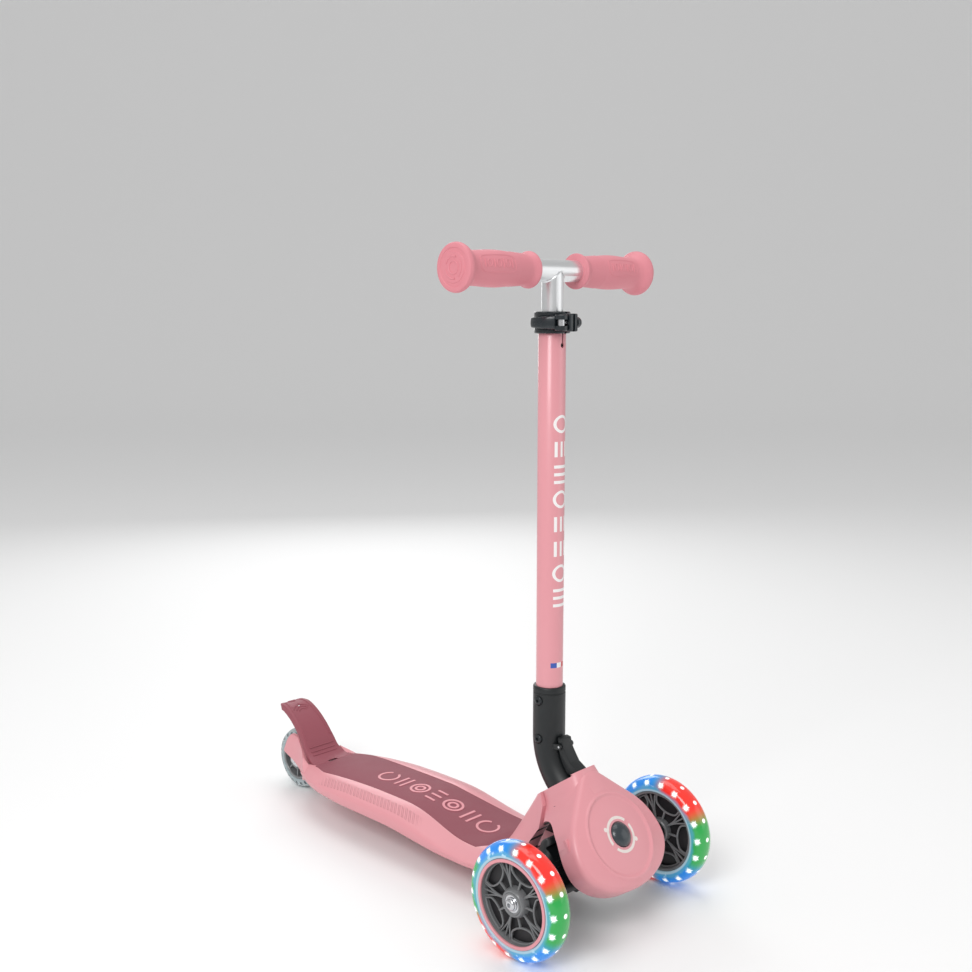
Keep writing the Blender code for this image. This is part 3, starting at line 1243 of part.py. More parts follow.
def height_button():
    bore = INNER_TUBE_RADIUS - TUBE_WALL
    axis = Vector((0, TUBE_SETBACK, BUTTON_HOLE_HEIGHT))
    tip = OUTER_TUBE_RADIUS - TUBE_WALL - 0.0008
    button = rod(SNAP_BUTTON_RADIUS, axis + 0.0035 * Y_AXIS, axis + tip * Y_AXIS, 16)
    finish(button, "height_button", STEEL, SNAP)
    y = TUBE_SETBACK
    leaf = 0.0006
    back = y - bore + 0.0014
    path = [(y + 0.0025, axis.z + 0.006), (y + 0.0025, axis.z - 0.006)]
    path += [(back, axis.z - 0.016), (back, axis.z - 0.022)]
    outer = [(place - leaf, height) for place, height in path]
    inner = [(place + leaf / 3, height) for place, height in reversed(path)]
    spring = plate(outer + inner, -0.003, 0.003)
    finish(spring, "height_button_spring", STEEL, T_BAR)


deck_shell()
deck_grip_pad()
front_cover()
front_frame()
frame_screws()
fold_pin()
kingpin()
centring_spring()
lock_button()
front_carrier()
front_axles()
front_wheels()
rear_wheel()
brake_flap()
stem_elbow()
outer_tube()
seat_clamp()
clamp_lever()
fold_lever()
t_bar()
grips()
height_button()

for loose in bpy.data.objects:
    if loose.parent is None and loose is not ROOT:
        keep_place(loose, ROOT)

# The front wheels' front and the rear wheel's back bound the footprint
ROOT.location.y = -(WHEELBASE + REAR_WHEEL_RADIUS - FRONT_WHEEL_RADIUS) / 2
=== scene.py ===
import math

import bmesh
import bpy
import numpy as np
from mathutils import Matrix, Vector


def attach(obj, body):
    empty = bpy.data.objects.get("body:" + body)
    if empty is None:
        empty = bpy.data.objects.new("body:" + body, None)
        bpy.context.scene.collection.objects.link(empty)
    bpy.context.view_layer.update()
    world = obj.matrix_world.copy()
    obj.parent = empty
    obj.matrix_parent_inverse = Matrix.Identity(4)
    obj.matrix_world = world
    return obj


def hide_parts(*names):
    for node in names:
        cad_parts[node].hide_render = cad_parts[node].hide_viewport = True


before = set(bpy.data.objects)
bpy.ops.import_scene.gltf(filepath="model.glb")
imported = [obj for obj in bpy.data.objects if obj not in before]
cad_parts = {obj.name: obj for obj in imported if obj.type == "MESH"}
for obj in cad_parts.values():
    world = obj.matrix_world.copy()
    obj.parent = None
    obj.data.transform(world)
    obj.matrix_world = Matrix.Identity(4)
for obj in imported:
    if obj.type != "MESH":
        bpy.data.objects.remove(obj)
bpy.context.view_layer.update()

# Studio: a pale floor and backdrop, a large key light over the camera's left shoulder, a wide
# soft fill from the right and a strip behind, so that the round tubes keep a bright edge.
def in_scene(name, data):
    obj = bpy.data.objects.new(name, data)
    bpy.context.scene.collection.objects.link(obj)
    return obj


camera = in_scene("camera", bpy.data.cameras.new("camera"))
camera.data.lens = 44.84
camera.data.sensor_width = 36
camera.location = (-0.93516, -1.00168, 0.63347)
camera.rotation_euler = (math.radians(90 - 8.315), 0, math.radians(-45.454))
bpy.context.scene.camera = camera

FLOOR_REACH, BACKDROP_BEND, AWAY_X, AWAY_Y = 14.0, 3.0, 0.713, 0.701
side_line = [(-FLOOR_REACH, 0.0), (5.0, 0.0)]
for degrees in range(5, 91, 5):
    bend = math.radians(degrees)
    side_line.append((5.0 + BACKDROP_BEND * math.sin(bend), BACKDROP_BEND - BACKDROP_BEND * math.cos(bend)))
side_line.append((8.0, 9.0))
corners = []
for away, up in side_line:
    for side in (-FLOOR_REACH, FLOOR_REACH):
        corners.append((away * AWAY_X + side * AWAY_Y, away * AWAY_Y - side * AWAY_X, up))
floor_mesh = bpy.data.meshes.new("floor")
floor_mesh.from_pydata(corners, [], [(i, i + 1, i + 3, i + 2) for i in range(0, len(corners) - 2, 2)])
floor_mesh.shade_smooth()
floor = in_scene("floor", floor_mesh)
floor_paint = bpy.data.materials.new("floor")
floor_paint.use_nodes = True
floor_shader = floor_paint.node_tree.nodes["Principled BSDF"]
floor_shader.inputs["Base Color"].default_value = (0.93, 0.93, 0.93, 1)
floor_shader.inputs["Roughness"].default_value = 0.6
floor.data.materials.append(floor_paint)

world = bpy.data.worlds.new("studio")
world.use_nodes = True
world.node_tree.nodes["Background"].inputs["Color"].default_value = (1, 1, 1, 1)
world.node_tree.nodes["Background"].inputs["Strength"].default_value = 0.56
bpy.context.scene.world = world
bpy.context.scene.view_settings.view_transform = "Standard"

for name, place, aim, size, power in (
    ("key", (-2.1, -0.9, 2.0), (0, -0.1, 0.3), 1.2, 36),
    ("fill", (1.4, -2.0, 0.9), (0, -0.1, 0.3), 1.6, 6),
    ("top", (0.2, 0.3, 2.6), (0, 0, 0.2), 1.6, 16),
    ("edge", (1.2, 1.6, 1.1), (0, 0, 0.4), 1.0, 8),
):
    light = bpy.data.lights.new(name, "AREA")
    light.shape = "SQUARE"
    light.size = size
    light.energy = power
    lamp = in_scene(name, light)
    lamp.location = place
    lamp.rotation_euler = (Vector(aim) - Vector(place)).to_track_quat("-Z", "Y").to_euler()


# Shading: a wire is a shader socket that ordinary arithmetic works on, and a look is one material
# whose colour, roughness and relief are built up from wires in the object's own coordinates.


class Wire:
    def __init__(self, tree, socket):
        self.tree = tree
        self.socket = socket

    def combine(self, operation, *others):
        node = self.tree.nodes.new("ShaderNodeMath")
        node.operation = operation
        for slot, value in zip(node.inputs, (self, *others)):
            if isinstance(value, Wire):
                self.tree.links.new(value.socket, slot)
            else:
                slot.default_value = value
        return Wire(self.tree, node.outputs[0])

    def constant(self, value):
        node = self.tree.nodes.new("ShaderNodeValue")
        node.outputs[0].default_value = value
        return Wire(self.tree, node.outputs[0])

    def __add__(self, other):
        return self.combine("ADD", other)

    def __sub__(self, other):
        return self.combine("SUBTRACT", other)

    def __mul__(self, other):
        return self.combine("MULTIPLY", other)

    def __truediv__(self, other):
        return self.combine("DIVIDE", other)

    def __rsub__(self, other):
        return self.constant(other) - self

    __radd__ = __add__
    __rmul__ = __mul__

    def size(self):
        return self.combine("ABSOLUTE")

    def most(self, other):
        return self.combine("MAXIMUM", other)

    def length(self, other):
        return (self * self + other * other).combine("SQRT")

    def repeat(self, pitch):
        """Distance from the middle of the nearest repeat."""
        return (self / pitch + 0.5).combine("FRACT") * pitch - pitch / 2

    def rise(self, low, high):
        """0 below low and 1 above high, smooth between; low may be the larger."""
        node = self.tree.nodes.new("ShaderNodeMapRange")
        node.interpolation_type = "SMOOTHSTEP"
        flip = low > high
        node.inputs["From Min"].default_value = min(low, high)
        node.inputs["From Max"].default_value = max(low, high)
        node.inputs["To Min"].default_value = 1.0 if flip else 0.0
        node.inputs["To Max"].default_value = 0.0 if flip else 1.0
        self.tree.links.new(self.socket, node.inputs["Value"])
        return Wire(self.tree, node.outputs["Result"])


class Look:
    def __init__(self, name, colour, roughness, metallic=0.0, coat=0.0):
        self.material = bpy.data.materials.new(name)
        self.material.use_nodes = True
        self.tree = self.material.node_tree
        self.shader = self.tree.nodes["Principled BSDF"]
        coordinates = self.tree.nodes.new("ShaderNodeTexCoord")
        split = self.tree.nodes.new("ShaderNodeSeparateXYZ")
        self.place = coordinates.outputs["Object"]
        self.tree.links.new(self.place, split.inputs[0])
        self.x, self.y, self.z = (Wire(self.tree, socket) for socket in split.outputs)
        self.shader.inputs["Metallic"].default_value = metallic
        self.shader.inputs["Roughness"].default_value = roughness
        self.shader.inputs["Coat Weight"].default_value = coat
        self.shader.inputs["Coat Roughness"].default_value = 0.15
        self.shader.inputs["Base Color"].default_value = (*colour, 1)
        self.colour = None
        self.base = (*colour, 1)
        self.roughness = roughness

    def noise(self, scale, detail=2.0):
        node = self.tree.nodes.new("ShaderNodeTexNoise")
        node.inputs["Scale"].default_value = scale
        node.inputs["Detail"].default_value = detail
        self.tree.links.new(self.place, node.inputs["Vector"])
        return Wire(self.tree, node.outputs["Fac"])

    def paint(self, amount, colour):
        """Lays a colour over what is there, by an amount from 0 to 1."""
        node = self.tree.nodes.new("ShaderNodeMix")
        node.data_type = "RGBA"
        self.tree.links.new(amount.socket, node.inputs["Factor"])
        if self.colour is None:
            node.inputs["A"].default_value = self.base
        else:
            self.tree.links.new(self.colour, node.inputs["A"])
        node.inputs["B"].default_value = (*colour, 1)
        self.colour = node.outputs["Result"]
        self.tree.links.new(self.colour, self.shader.inputs["Base Color"])
        return self

    def attribute(self, name):
        node = self.tree.nodes.new("ShaderNodeAttribute")
        node.attribute_name = name
        return Wire(self.tree, node.outputs["Fac"])

    def rough(self, wire):
        self.tree.links.new(wire.socket, self.shader.inputs["Roughness"])
        return self

    def relief(self, height, distance):
        node = self.tree.nodes.new("ShaderNodeBump")
        node.inputs["Distance"].default_value = distance
        self.tree.links.new(height.socket, node.inputs["Height"])
        before = self.shader.inputs["Normal"].links
        if before:
            self.tree.links.new(before[0].from_socket, node.inputs["Normal"])
        self.tree.links.new(node.outputs["Normal"], self.shader.inputs["Normal"])
        return self

    def worn(self, spread=0.06, fine=900.0, depth=0.00003):
        """Slight patches of gloss and a fine moulded grain."""
        self.rough(self.noise(35.0, 4.0) * spread * 2 + (self.roughness - spread))
        return self.relief(self.noise(fine, 1.0), depth)

    def glow(self, strength):
        self.shader.inputs["Emission Strength"].default_value = strength
        if self.colour is None:
            self.shader.inputs["Emission Color"].default_value = self.base
        else:
            self.tree.links.new(self.colour, self.shader.inputs["Emission Color"])
        return self


PINK = (0.74, 0.31, 0.345)
pink_trim = Look("pink_trim", PINK, 0.36).worn(0.05, 700, 0.00002)
black_nylon = Look("black_nylon", (0.007, 0.009, 0.010), 0.42).worn(0.08, 1200, 0.00005)
slate_plastic = Look("slate_plastic", (0.008, 0.013, 0.017), 0.28, coat=0.2).worn(0.06, 900, 0.00003)
zinc_steel = Look("zinc_steel", (0.62, 0.63, 0.65), 0.24, metallic=1.0).worn(0.08, 400, 0.00001)
bush_nylon = Look("bush_nylon", (0.70, 0.68, 0.62), 0.5).worn(0.05, 900, 0.00003)
light_ring = Look("light_ring", (0.75, 0.88, 0.92), 0.3).worn(0.05, 900, 0.00001)


# Shaping: rings of points become skins, cutters are applied at once, and place() hands a finished
# mesh to its body. Shapes are drawn with the front axle over Y = 0 and moved to the row's origin.
WHEELBASE = 0.505
ORIGIN_Y = 0.2425
TUBE_Y = 0.0665
FACE_Y, FACE_Z = -0.033, 0.101
FACE_LEAN = math.radians(55)
X, Z = Vector((1, 0, 0)), Vector((0, 0, 1))
SHIFT = Matrix.Translation((0, -ORIGIN_Y, 0))
FACE = Matrix.Translation((0, FACE_Y, FACE_Z)) @ Matrix.Rotation(FACE_LEAN, 4, "X")
FACE_OUT = FACE.to_3x3() @ Z


def turns(count):
    """The angles of one full turn, in equal steps."""
    return [2 * math.pi * i / count for i in range(count)]


def turned_to(centre, out):
    """Turns a shape drawn round Z so that it lies round another axis through a centre."""
    return Matrix.Translation(centre) @ Vector(out).to_track_quat("Z", "Y").to_matrix().to_4x4()


def skin(rings, matrix=Matrix.Identity(4), caps=True, closed=False):
    bm = bmesh.new()
    rows = [[bm.verts.new(matrix @ Vector(point)) for point in ring] for ring in rings]
    pairs = list(zip(rows, rows[1:]))
    if closed:
        pairs.append((rows[-1], rows[0]))
    for lower, upper in pairs:
        for i in range(len(lower)):
            j = (i + 1) % len(lower)
            bm.faces.new((lower[i], lower[j], upper[j], upper[i]))
    if caps and not closed:
        bm.faces.new(rows[0])
        bm.faces.new(rows[-1])
    bmesh.ops.recalc_face_normals(bm, faces=bm.faces)
    return bm


def lathe(profile, base, axis, sides=64, closed=False):
    """Turns (radius, along) points round an axis. A closed profile makes a ring with a bore."""
    rings = []
    for radius, along in profile:
        radius = max(radius, 1e-5)
        rings.append([(radius * math.cos(a), radius * math.sin(a), along) for a in turns(sides)])
    bm = skin(rings, turned_to(base, axis), closed=closed)
    bmesh.ops.remove_doubles(bm, verts=bm.verts, dist=0.00003)
    return bm


def bar(radius, start, end, sides=32, edge=0.0):
    """A round bar with softened ends."""
    start, end = Vector(start), Vector(end)
    length = (end - start).length
    profile = [(0, 0), (radius, 0), (radius, length), (0, length)]
    if edge:
        profile[1:3] = [(radius - edge, 0), (radius, edge), (radius, length - edge), (radius - edge, length)]
    return lathe(profile, start, end - start, sides)


def box(low, high, matrix=Matrix.Identity(4), rounding=0.0):
    bm = bmesh.new()
    low, high = Vector(low), Vector(high)
    bmesh.ops.create_cube(bm, size=1)
    bmesh.ops.scale(bm, vec=high - low, verts=bm.verts)
    bmesh.ops.translate(bm, vec=(low + high) / 2, verts=bm.verts)
    if rounding:
        bmesh.ops.bevel(bm, geom=bm.edges[:], offset=rounding, segments=3, profile=0.5, affect="EDGES")
    bmesh.ops.transform(bm, matrix=matrix, verts=bm.verts)
    return bm


def strip(outline, start, end):
    """A side profile of (y, z) points from x = start to x = end."""
    return skin([[(x, y, z) for y, z in outline] for x in (start, end)])


def sweep(path, radius, sides=10, closed=False, flat=1.0, up=None):
    """A round or flattened bead along a path of points."""
    path = [Vector(point) for point in path]
    rings = []
    for i, point in enumerate(path):
        before = path[i - 1] if closed or i else path[0]
        after = path[(i + 1) % len(path)] if closed or i + 1 < len(path) else path[-1]
        along = (after - before).normalized()
        rise = Vector(up) if up else (Z if abs(along.z) < 0.9 else X)
        side = along.cross(rise).normalized()
        rise = side.cross(along).normalized()
        rise *= flat
        rings.append([point + radius * (math.cos(a) * side + math.sin(a) * rise) for a in turns(sides)])
    return skin(rings, closed=closed)


def merged(*parts):
    """One mesh of several, without joining their surfaces."""
    whole = bmesh.new()
    for part in parts:
        mesh = bpy.data.meshes.new("part")
        part.to_mesh(mesh)
        whole.from_mesh(mesh)
        part.free()
        bpy.data.meshes.remove(mesh)
    return whole


def helper(bm):
    mesh = bpy.data.meshes.new("helper")
    bm.to_mesh(mesh)
    bm.free()
    return in_scene("helper", mesh)


def baked(obj):
    """A new mesh of the object with its modifiers applied."""
    bpy.context.view_layer.update()
    graph = bpy.context.evaluated_depsgraph_get()
    return bpy.data.meshes.new_from_object(obj.evaluated_get(graph))


def carved(bm, *steps):
    """Applies Booleans in turn: each step is (operation, shapes)."""
    base = helper(bm)
    used = []
    for operation, shapes in steps:
        group = bpy.data.collections.new("group")
        for shape in shapes:
            other = helper(shape)
            group.objects.link(other)
            used.append(other)
        modifier = base.modifiers.new("cut", "BOOLEAN")
        modifier.operation = operation
        modifier.operand_type = "COLLECTION"
        modifier.collection = group
        modifier.solver = "EXACT"
    result = bmesh.new()
    result.from_mesh(baked(base))
    for obj in (base, *used):
        bpy.data.objects.remove(obj)
    return result


def painted_shade_faces(bm, name, test):
    """Marks the faces that a test picks, for a look to paint shade on."""
    layer = bm.faces.layers.float.new(name)
    for face in bm.faces:
        face[layer] = 1.0 if test(face.calc_center_median(), face.normal) else 0.0


def place(name, bm, body, look, slot, *replaced, sharp=35, edge=0.0):
    """Makes the finished piece: smooth shading, a softened edge where asked, its body and its node."""
    mesh = bpy.data.meshes.new(name)
    bmesh.ops.transform(bm, matrix=SHIFT, verts=bm.verts)
    bmesh.ops.remove_doubles(bm, verts=bm.verts, dist=0.000002)
    bm.to_mesh(mesh)
    bm.free()
    obj = in_scene(name, mesh)
    if edge:
        bevel = obj.modifiers.new("edge", "BEVEL")
        bevel.width = edge
        bevel.segments = 2
        bevel.limit_method = "ANGLE"
        bevel.angle_limit = math.radians(40)
        rounded = baked(obj)
        obj.modifiers.clear()
        obj.data = rounded
    obj.data.materials.clear()
    obj.data.materials.append(look.material)
    obj.data.shade_smooth()
    obj.data.set_sharp_from_angle(angle=math.radians(sharp))
    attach(obj, body)
    if replaced:
        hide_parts(*replaced)
    return obj


def smooth_step(value, low, high):
    share = min(max((value - low) / (high - low), 0), 1)
    return share * share * (3 - 2 * share)


def curve_through(points, count):
    """A smooth run of points through a few, by parameter."""
    points = [np.array(point, float) for point in points]
    padded = [2 * points[0] - points[1], *points, 2 * points[-1] - points[-2]]
    run = []
    for i in range(count):
        at = i / (count - 1) * (len(points) - 1)
        k = min(int(at), len(points) - 2)
        t = at - k
        a, b, c, d = padded[k : k + 4]
        spot = 2 * b + (c - a) * t + (2 * a - 5 * b + 4 * c - d) * t**2 + (3 * b - a - 3 * c + d) * t**3
        run.append((0.5 * spot).tolist())
    return run


def softened(ring, times=2):
    """Cuts the corners of a closed ring of points."""
    for _ in range(times):
        cut = []
        for first, second in zip(ring, ring[1:] + ring[:1]):
            a, b = Vector(first), Vector(second)
            cut += [a.lerp(b, 0.25), a.lerp(b, 0.75)]
        ring = cut
    return ring


# Deck moulding: one long pink shell with a crowned top, sloping margins with short slanted grip
# ribs, a recess for the pad, arms beside the rear wheel and the hill that carries the neck's back.
CREST_Y, CREST_Z = 0.275, 0.0623
HALF_WIDTH = 0.067
DECK_FRONT, DECK_REAR = 0.048, WHEELBASE - 0.050
TAIL_Y, TAIL_Z = WHEELBASE - 0.064, 0.049
TAIL_HALF = 0.0305
PAD_FRONT, PAD_REAR = 0.117, TAIL_Y - 0.0055
HILL_END = 0.118
SLOT_HALF = 0.01835
SPLIT = 0.0575
NECK_TOP = 0.0728


def deck_top(y):
    rear = CREST_Z - 0.0095 * (max(y - CREST_Y, 0) / (DECK_REAR - CREST_Y)) ** 2
    return rear - 0.0140 * smooth_step(CREST_Y - y, 0.015, 0.135)


def deck_bottom(y):
    return CREST_Z - 0.0255 - 0.0065 * smooth_step(CREST_Y - y, 0.0, 0.110)


def deck_half_width(y):
    places = [DECK_FRONT, 0.080, 0.105, 0.130, 0.350, 0.400, 0.430, DECK_REAR]
    shares = [0.66, 0.84, 0.94, 1.0, 1.0, 0.93, 0.80, 0.63]
    steps = (-0.010, -0.005, 0, 0.005, 0.010) if 0.06 < y < 0.445 else (0,)
    near = [np.interp(y + step, places, shares) for step in steps]
    return HALF_WIDTH * sum(near) / len(near)


def hill_height(y):
    line = 0.070 - 1.652 * (y - TUBE_Y)
    return 0.0 if y > HILL_END else max(line, 0) + 0.004 * smooth_step(HILL_END - y, 0, 0.014)


def pad_half_width(y):
    flare = 0.0075 * smooth_step(0.240 - y, 0, 0.090) + 0.004 * smooth_step(y, 0.300, PAD_REAR)
    width = 0.0365 + flare
    nose, into = 0.067, y - PAD_FRONT
    if into < nose:
        width = min(width, math.sqrt(max(nose**2 - (nose - into) ** 2, 0)))
    return width - 0.008 * smooth_step(y, PAD_REAR - 0.030, PAD_REAR)


def deck_ring(y):
    width, top, bottom, hill = deck_half_width(y), deck_top(y), deck_bottom(y), hill_height(y)
    flat = min(0.044, width * 0.66)
    half = [(flat * share, top) for share in (0.0, 0.2, 0.45, 0.7, 1.0)]
    half += [(flat + 0.62 * (width - flat), top - 0.0050), (width - 0.002, top - 0.008)]
    half += [(width, (top + bottom) / 2), (width - 0.0015, bottom + 0.003), (width - 0.006, bottom)]
    risen = []
    for x, z in half:
        bump = max(1 - max(x - 0.021, 0) / 0.035, 0) ** 1.4
        risen.append((x, z + (hill * bump if z >= top - 0.0081 else 0)))
    ring = [(x, y, z) for x, z in risen]
    ring += [(width * share, y, bottom) for share in (0.5, 0, -0.5)]
    ring += [(-x, y, z) for x, z in reversed(risen[1:])]
    return softened(ring, 2)


stations = np.linspace(DECK_FRONT, 0.135, 30).tolist() + np.linspace(0.141, DECK_REAR, 54).tolist()
deck = skin([deck_ring(y) for y in stations])

NECK = [(0.020, 0.052, 0.072), (0.036, 0.045, 0.072), (0.045, 0.037, 0.0715), (0.053, 0.030, 0.071)]
NECK += [(0.061, 0.0250, 0.0705), (NECK_TOP, 0.022, 0.070)]


def rounded_square(count, power):
    """Points from -1 to 1 each way: power 2 is a circle, and more is squarer."""
    points = [(math.cos(a), math.sin(a)) for a in turns(count)]
    soft = [(abs(x) ** power + abs(y) ** power) ** (-1 / power) for x, y in points]
    return [(reach * x, reach * y) for reach, (x, y) in zip(soft, points)]


def neck_form(wall, top, sides=72):
    rings = []
    for up, half_width, back in curve_through(NECK, 26):
        front = 0.0045 + wall
        depth = (back - wall - front) / 2
        ring = []
        for across, along in rounded_square(sides, 3.4):
            ring.append(((half_width - wall) * across, up, -(front + depth + depth * along)))
        rings.append(ring)
    if top:
        rings.append([(x, up + top, z) for x, up, z in rings[-1]])
    return skin(rings, FACE)


ARCH = [(0.0285, -0.090), (0.0275, -0.040), (0.0275, -0.013), (0.0290, 0.012), (0.0330, 0.024)]
ARCH += [(0.0390, 0.034), (0.0460, 0.0405), (0.0550, 0.0435), (0.0640, 0.0425), (0.0750, 0.0385)]
ARCH.append((0.0880, 0.0330))
ARCH += [(0.1040, 0.0240), (0.1170, 0.0140), (0.1250, 0.0060), (0.1330, -0.020), (0.1330, -0.090)]


def side_opening():
    smooth = [ARCH[0], *curve_through(ARCH[2:15], 50), ARCH[15]]
    return skin([[(x, up, -depth) for depth, up in smooth] for x in (-0.12, 0.12)], FACE)


def elbow_slot():
    return box((-SLOT_HALF, 0.019, 0.062), (SLOT_HALF, PAD_FRONT + 0.02, 0.30))


def stay_form(sign):
    shape = [(-0.062, 0.046, 0.037, 0.048), (-0.050, 0.0395, 0.032, 0.0535)]
    shape += [(-0.040, 0.031, 0.029, 0.0600), (-0.030, 0.0245, 0.029, 0.0680)]
    shape += [(-0.020, 0.0215, 0.0325, 0.0750), (-0.008, 0.0200, 0.0385, 0.0775)]
    shape += [(0.001, 0.0197, 0.0420, 0.0760), (0.009, 0.0195, 0.0450, 0.0680)]
    shape.append((0.0165, 0.0190, 0.0475, 0.0545))
    rings = []
    for back, width, low, high in curve_through(shape, 40):
        y = WHEELBASE + back
        section = [(0.014, low), (width - 0.0015, low), (width, low + 0.0015), (width, high - 0.003)]
        section += [(width - 0.0015, high), (0.014, high)]
        rings.append(softened([(sign * x, y, z) for x, z in section], 1))
    return skin(rings)


def pad_form(grow, above, count=60):
    rings = []
    into = np.linspace(0.01, 1, count) ** 1.6
    for i, share in enumerate(into):
        y = PAD_FRONT + (PAD_REAR - PAD_FRONT) * share
        width = pad_half_width(y) + grow
        y += -grow if i == 0 else grow if i == count - 1 else 0
        top, bottom = deck_top(y) + above, deck_top(y) - 0.0025 - grow
        rings.append([(-width, y, bottom), (width, y, bottom), (width, y, top), (-width, y, top)])
    return skin(rings)


def deck_pockets():
    pockets = []
    first, last = 0.126, TAIL_Y - 0.012
    pitch = (last - first) / 6
    for row in range(6):
        start, end = first + row * pitch, first + (row + 1) * pitch - 0.003
        width = min(deck_half_width(start), deck_half_width(end)) - 0.009
        roof = min(deck_top(start), deck_top(end)) - 0.0065
        for low, high in ((0.0015, width / 2 - 0.0015), (width / 2 + 0.0015, width)):
            over = roof - (0.0045 if low > 0.02 else 0)
            for sign in (1, -1):
                near, far = sorted((sign * low, sign * high))
                pockets.append(box((near, start, 0), (far, end, over)))
    return pockets


neck_back = box((-0.1, 0.025, -0.2), (0.1, 0.12, -SPLIT + 0.006), FACE)
neck = carved(neck_form(0, 0.004), ("INTERSECT", [neck_back]))
ahead = box((-0.12, -0.12, -SPLIT - 0.0004), (0.12, 0.2, 0.2), FACE)
above = box((-0.12, NECK_TOP, -0.11), (0.12, 0.3, 0.1), FACE)
barrel = bar(0.0055, (-0.0308, TAIL_Y, TAIL_Z), (0.0308, TAIL_Y, TAIL_Z))
step = [(0, -0.0053), (0.0120, -0.0053), (0.0262, 0.0058), (0.0383, 0.0177), (0.0485, 0.0285)]
step += [(0.0485, 0.25), (0, 0.25)]
tail_step = strip([(TAIL_Y + y, TAIL_Z + z) for y, z in step], -TAIL_HALF, TAIL_HALF)
tail_notch = box((-TAIL_HALF, TAIL_Y - 0.0055, TAIL_Z), (TAIL_HALF, TAIL_Y + 0.001, 0.3))
frame_room = box((-0.0263, -0.1, 0), (0.0263, 0.1143, 0.0403))
elbow_room = box((-0.0182, -0.1, 0), (0.0182, 0.0605, 0.3))
wheel_room = box((-0.014, WHEELBASE - 0.043, 0), (0.014, 0.7, 0.3))
deck = carved(
    deck,
    ("UNION", [neck, stay_form(1), stay_form(-1)]),
    ("DIFFERENCE", [ahead, above, side_opening(), elbow_slot(), pad_form(0.0003, 0.01)]),
    ("DIFFERENCE", deck_pockets()),
    ("DIFFERENCE", [frame_room, elbow_room, wheel_room]),
    ("DIFFERENCE", [barrel, tail_step, tail_notch]),
)


def in_shadow(centre, normal):
    """A face of the head that looks inwards round the arches, beside the black frame, which the look paints
    near black as shade.
    """
    at = FACE.inverted() @ centre
    way = FACE.to_3x3().inverted() @ normal
    inward = way.x * at.x < -0.2 * abs(at.x) or way.z < -0.5
    return inward and abs(at.x) < 0.066 and -0.057 < at.z < -0.0035 and at.y < 0.060


def shaded_in_tunnel(centre, normal):
    """A face of the hill or neck that looks towards the middle, under the head's roof, where painted shade
    goes.
    """
    at = FACE.inverted() @ centre
    return centre.y < 0.108 and at.y < 0.062 and normal.x * centre.x < 0 and abs(centre.x) < 0.05


painted_shade_faces(deck, "inner", shaded_in_tunnel)
deck_look = Look("deck_plastic", PINK, 0.42, coat=0.15).worn(0.05, 700, 0.00002)
across = deck_look.x.size()
along = deck_look.y - 0.0625
on_margin = across.rise(0.0475, 0.0485) * across.rise(0.0605, 0.0595)
runs = along.size().rise(0.100, 0.070)
ribs = (deck_look.y + across * 0.9).repeat(0.0062).size().rise(0.0016, 0.0009)
deck_look.relief(on_margin * runs * ribs * deck_look.z.rise(0.040, 0.041), 0.0012)
# Painted shade: the inward faces of the hill and neck under the head are painted near black.
deck_look.paint(deck_look.attribute("inner"), (0.012, 0.012, 0.013))
place("deck_moulding", deck, "deck", deck_look, "pink_plastic", "deck_shell", sharp=32, edge=0.0005)


# Head cover: the drop-shaped dished face with its raised ring and printed ring round the button,
# its side wall, the arches that the carrier swings in and the open column for the elbow.
FACE_RADIUS, FACE_DROP, LOWER_HEIGHT, TIP_RADIUS = 0.067, 0.013, 0.041, 0.020


def inside_drop(x, up):
    rise, side = up + FACE_DROP, abs(x)
    if rise < 0:
        return (side / FACE_RADIUS) ** 2 + (rise / LOWER_HEIGHT) ** 2 <= 1
    flank = math.sqrt(2) * FACE_RADIUS
    tip = flank - math.sqrt(2) * TIP_RADIUS
    if side**2 + rise**2 <= FACE_RADIUS**2 or side**2 + (rise - tip) ** 2 <= TIP_RADIUS**2:
        return True
    return side + rise <= flank and FACE_RADIUS / math.sqrt(2) <= rise <= tip + TIP_RADIUS / math.sqrt(2)


def drop_reach(angle):
    near, far = 0.0, 0.2
    for _ in range(30):
        middle = (near + far) / 2
        if inside_drop(middle * math.cos(angle), middle * math.sin(angle)):
            near = middle
        else:
            far = middle
    return near


DROP_SIDES = 160
reaches = np.array([drop_reach(angle) for angle in turns(DROP_SIDES)])
reaches = sum(np.roll(reaches, step) for step in (-2, -1, 0, 1, 2)) / 5


def face_ring(depth, inset=0.0, circle=None):
    ring = []
    for angle, edge_reach in zip(turns(DROP_SIDES), reaches):
        reach = circle or edge_reach - inset
        ring.append((reach * math.cos(angle), reach * math.sin(angle), -depth))
    return ring


def face_form(wall):
    dish = [(0.010, 0), (0.024, 0.0003), (0.038, 0.0015), (0.0400, 0.0019), (0.0412, 0.0017)]
    dish += [(0.0422, 0.0009), (0.0434, 0.0003), (0.0448, 0.0004), (0.0458, 0.0012), (0.0470, 0.0020)]
    rings = [face_ring(wall + depth, circle=radius) for radius, depth in dish]
    edge = [(0.0055, 0.0031), (0.0040, 0.0037), (0.0024, 0.0048), (0.0012, 0.0062), (0.0004, 0.0082)]
    rings += [face_ring(wall + depth, inset=inset + wall) for inset, depth in edge]
    rings += [face_ring(depth, inset=wall) for depth in (wall + 0.0105, 0.035, 0.0620)]
    return skin(rings, FACE)


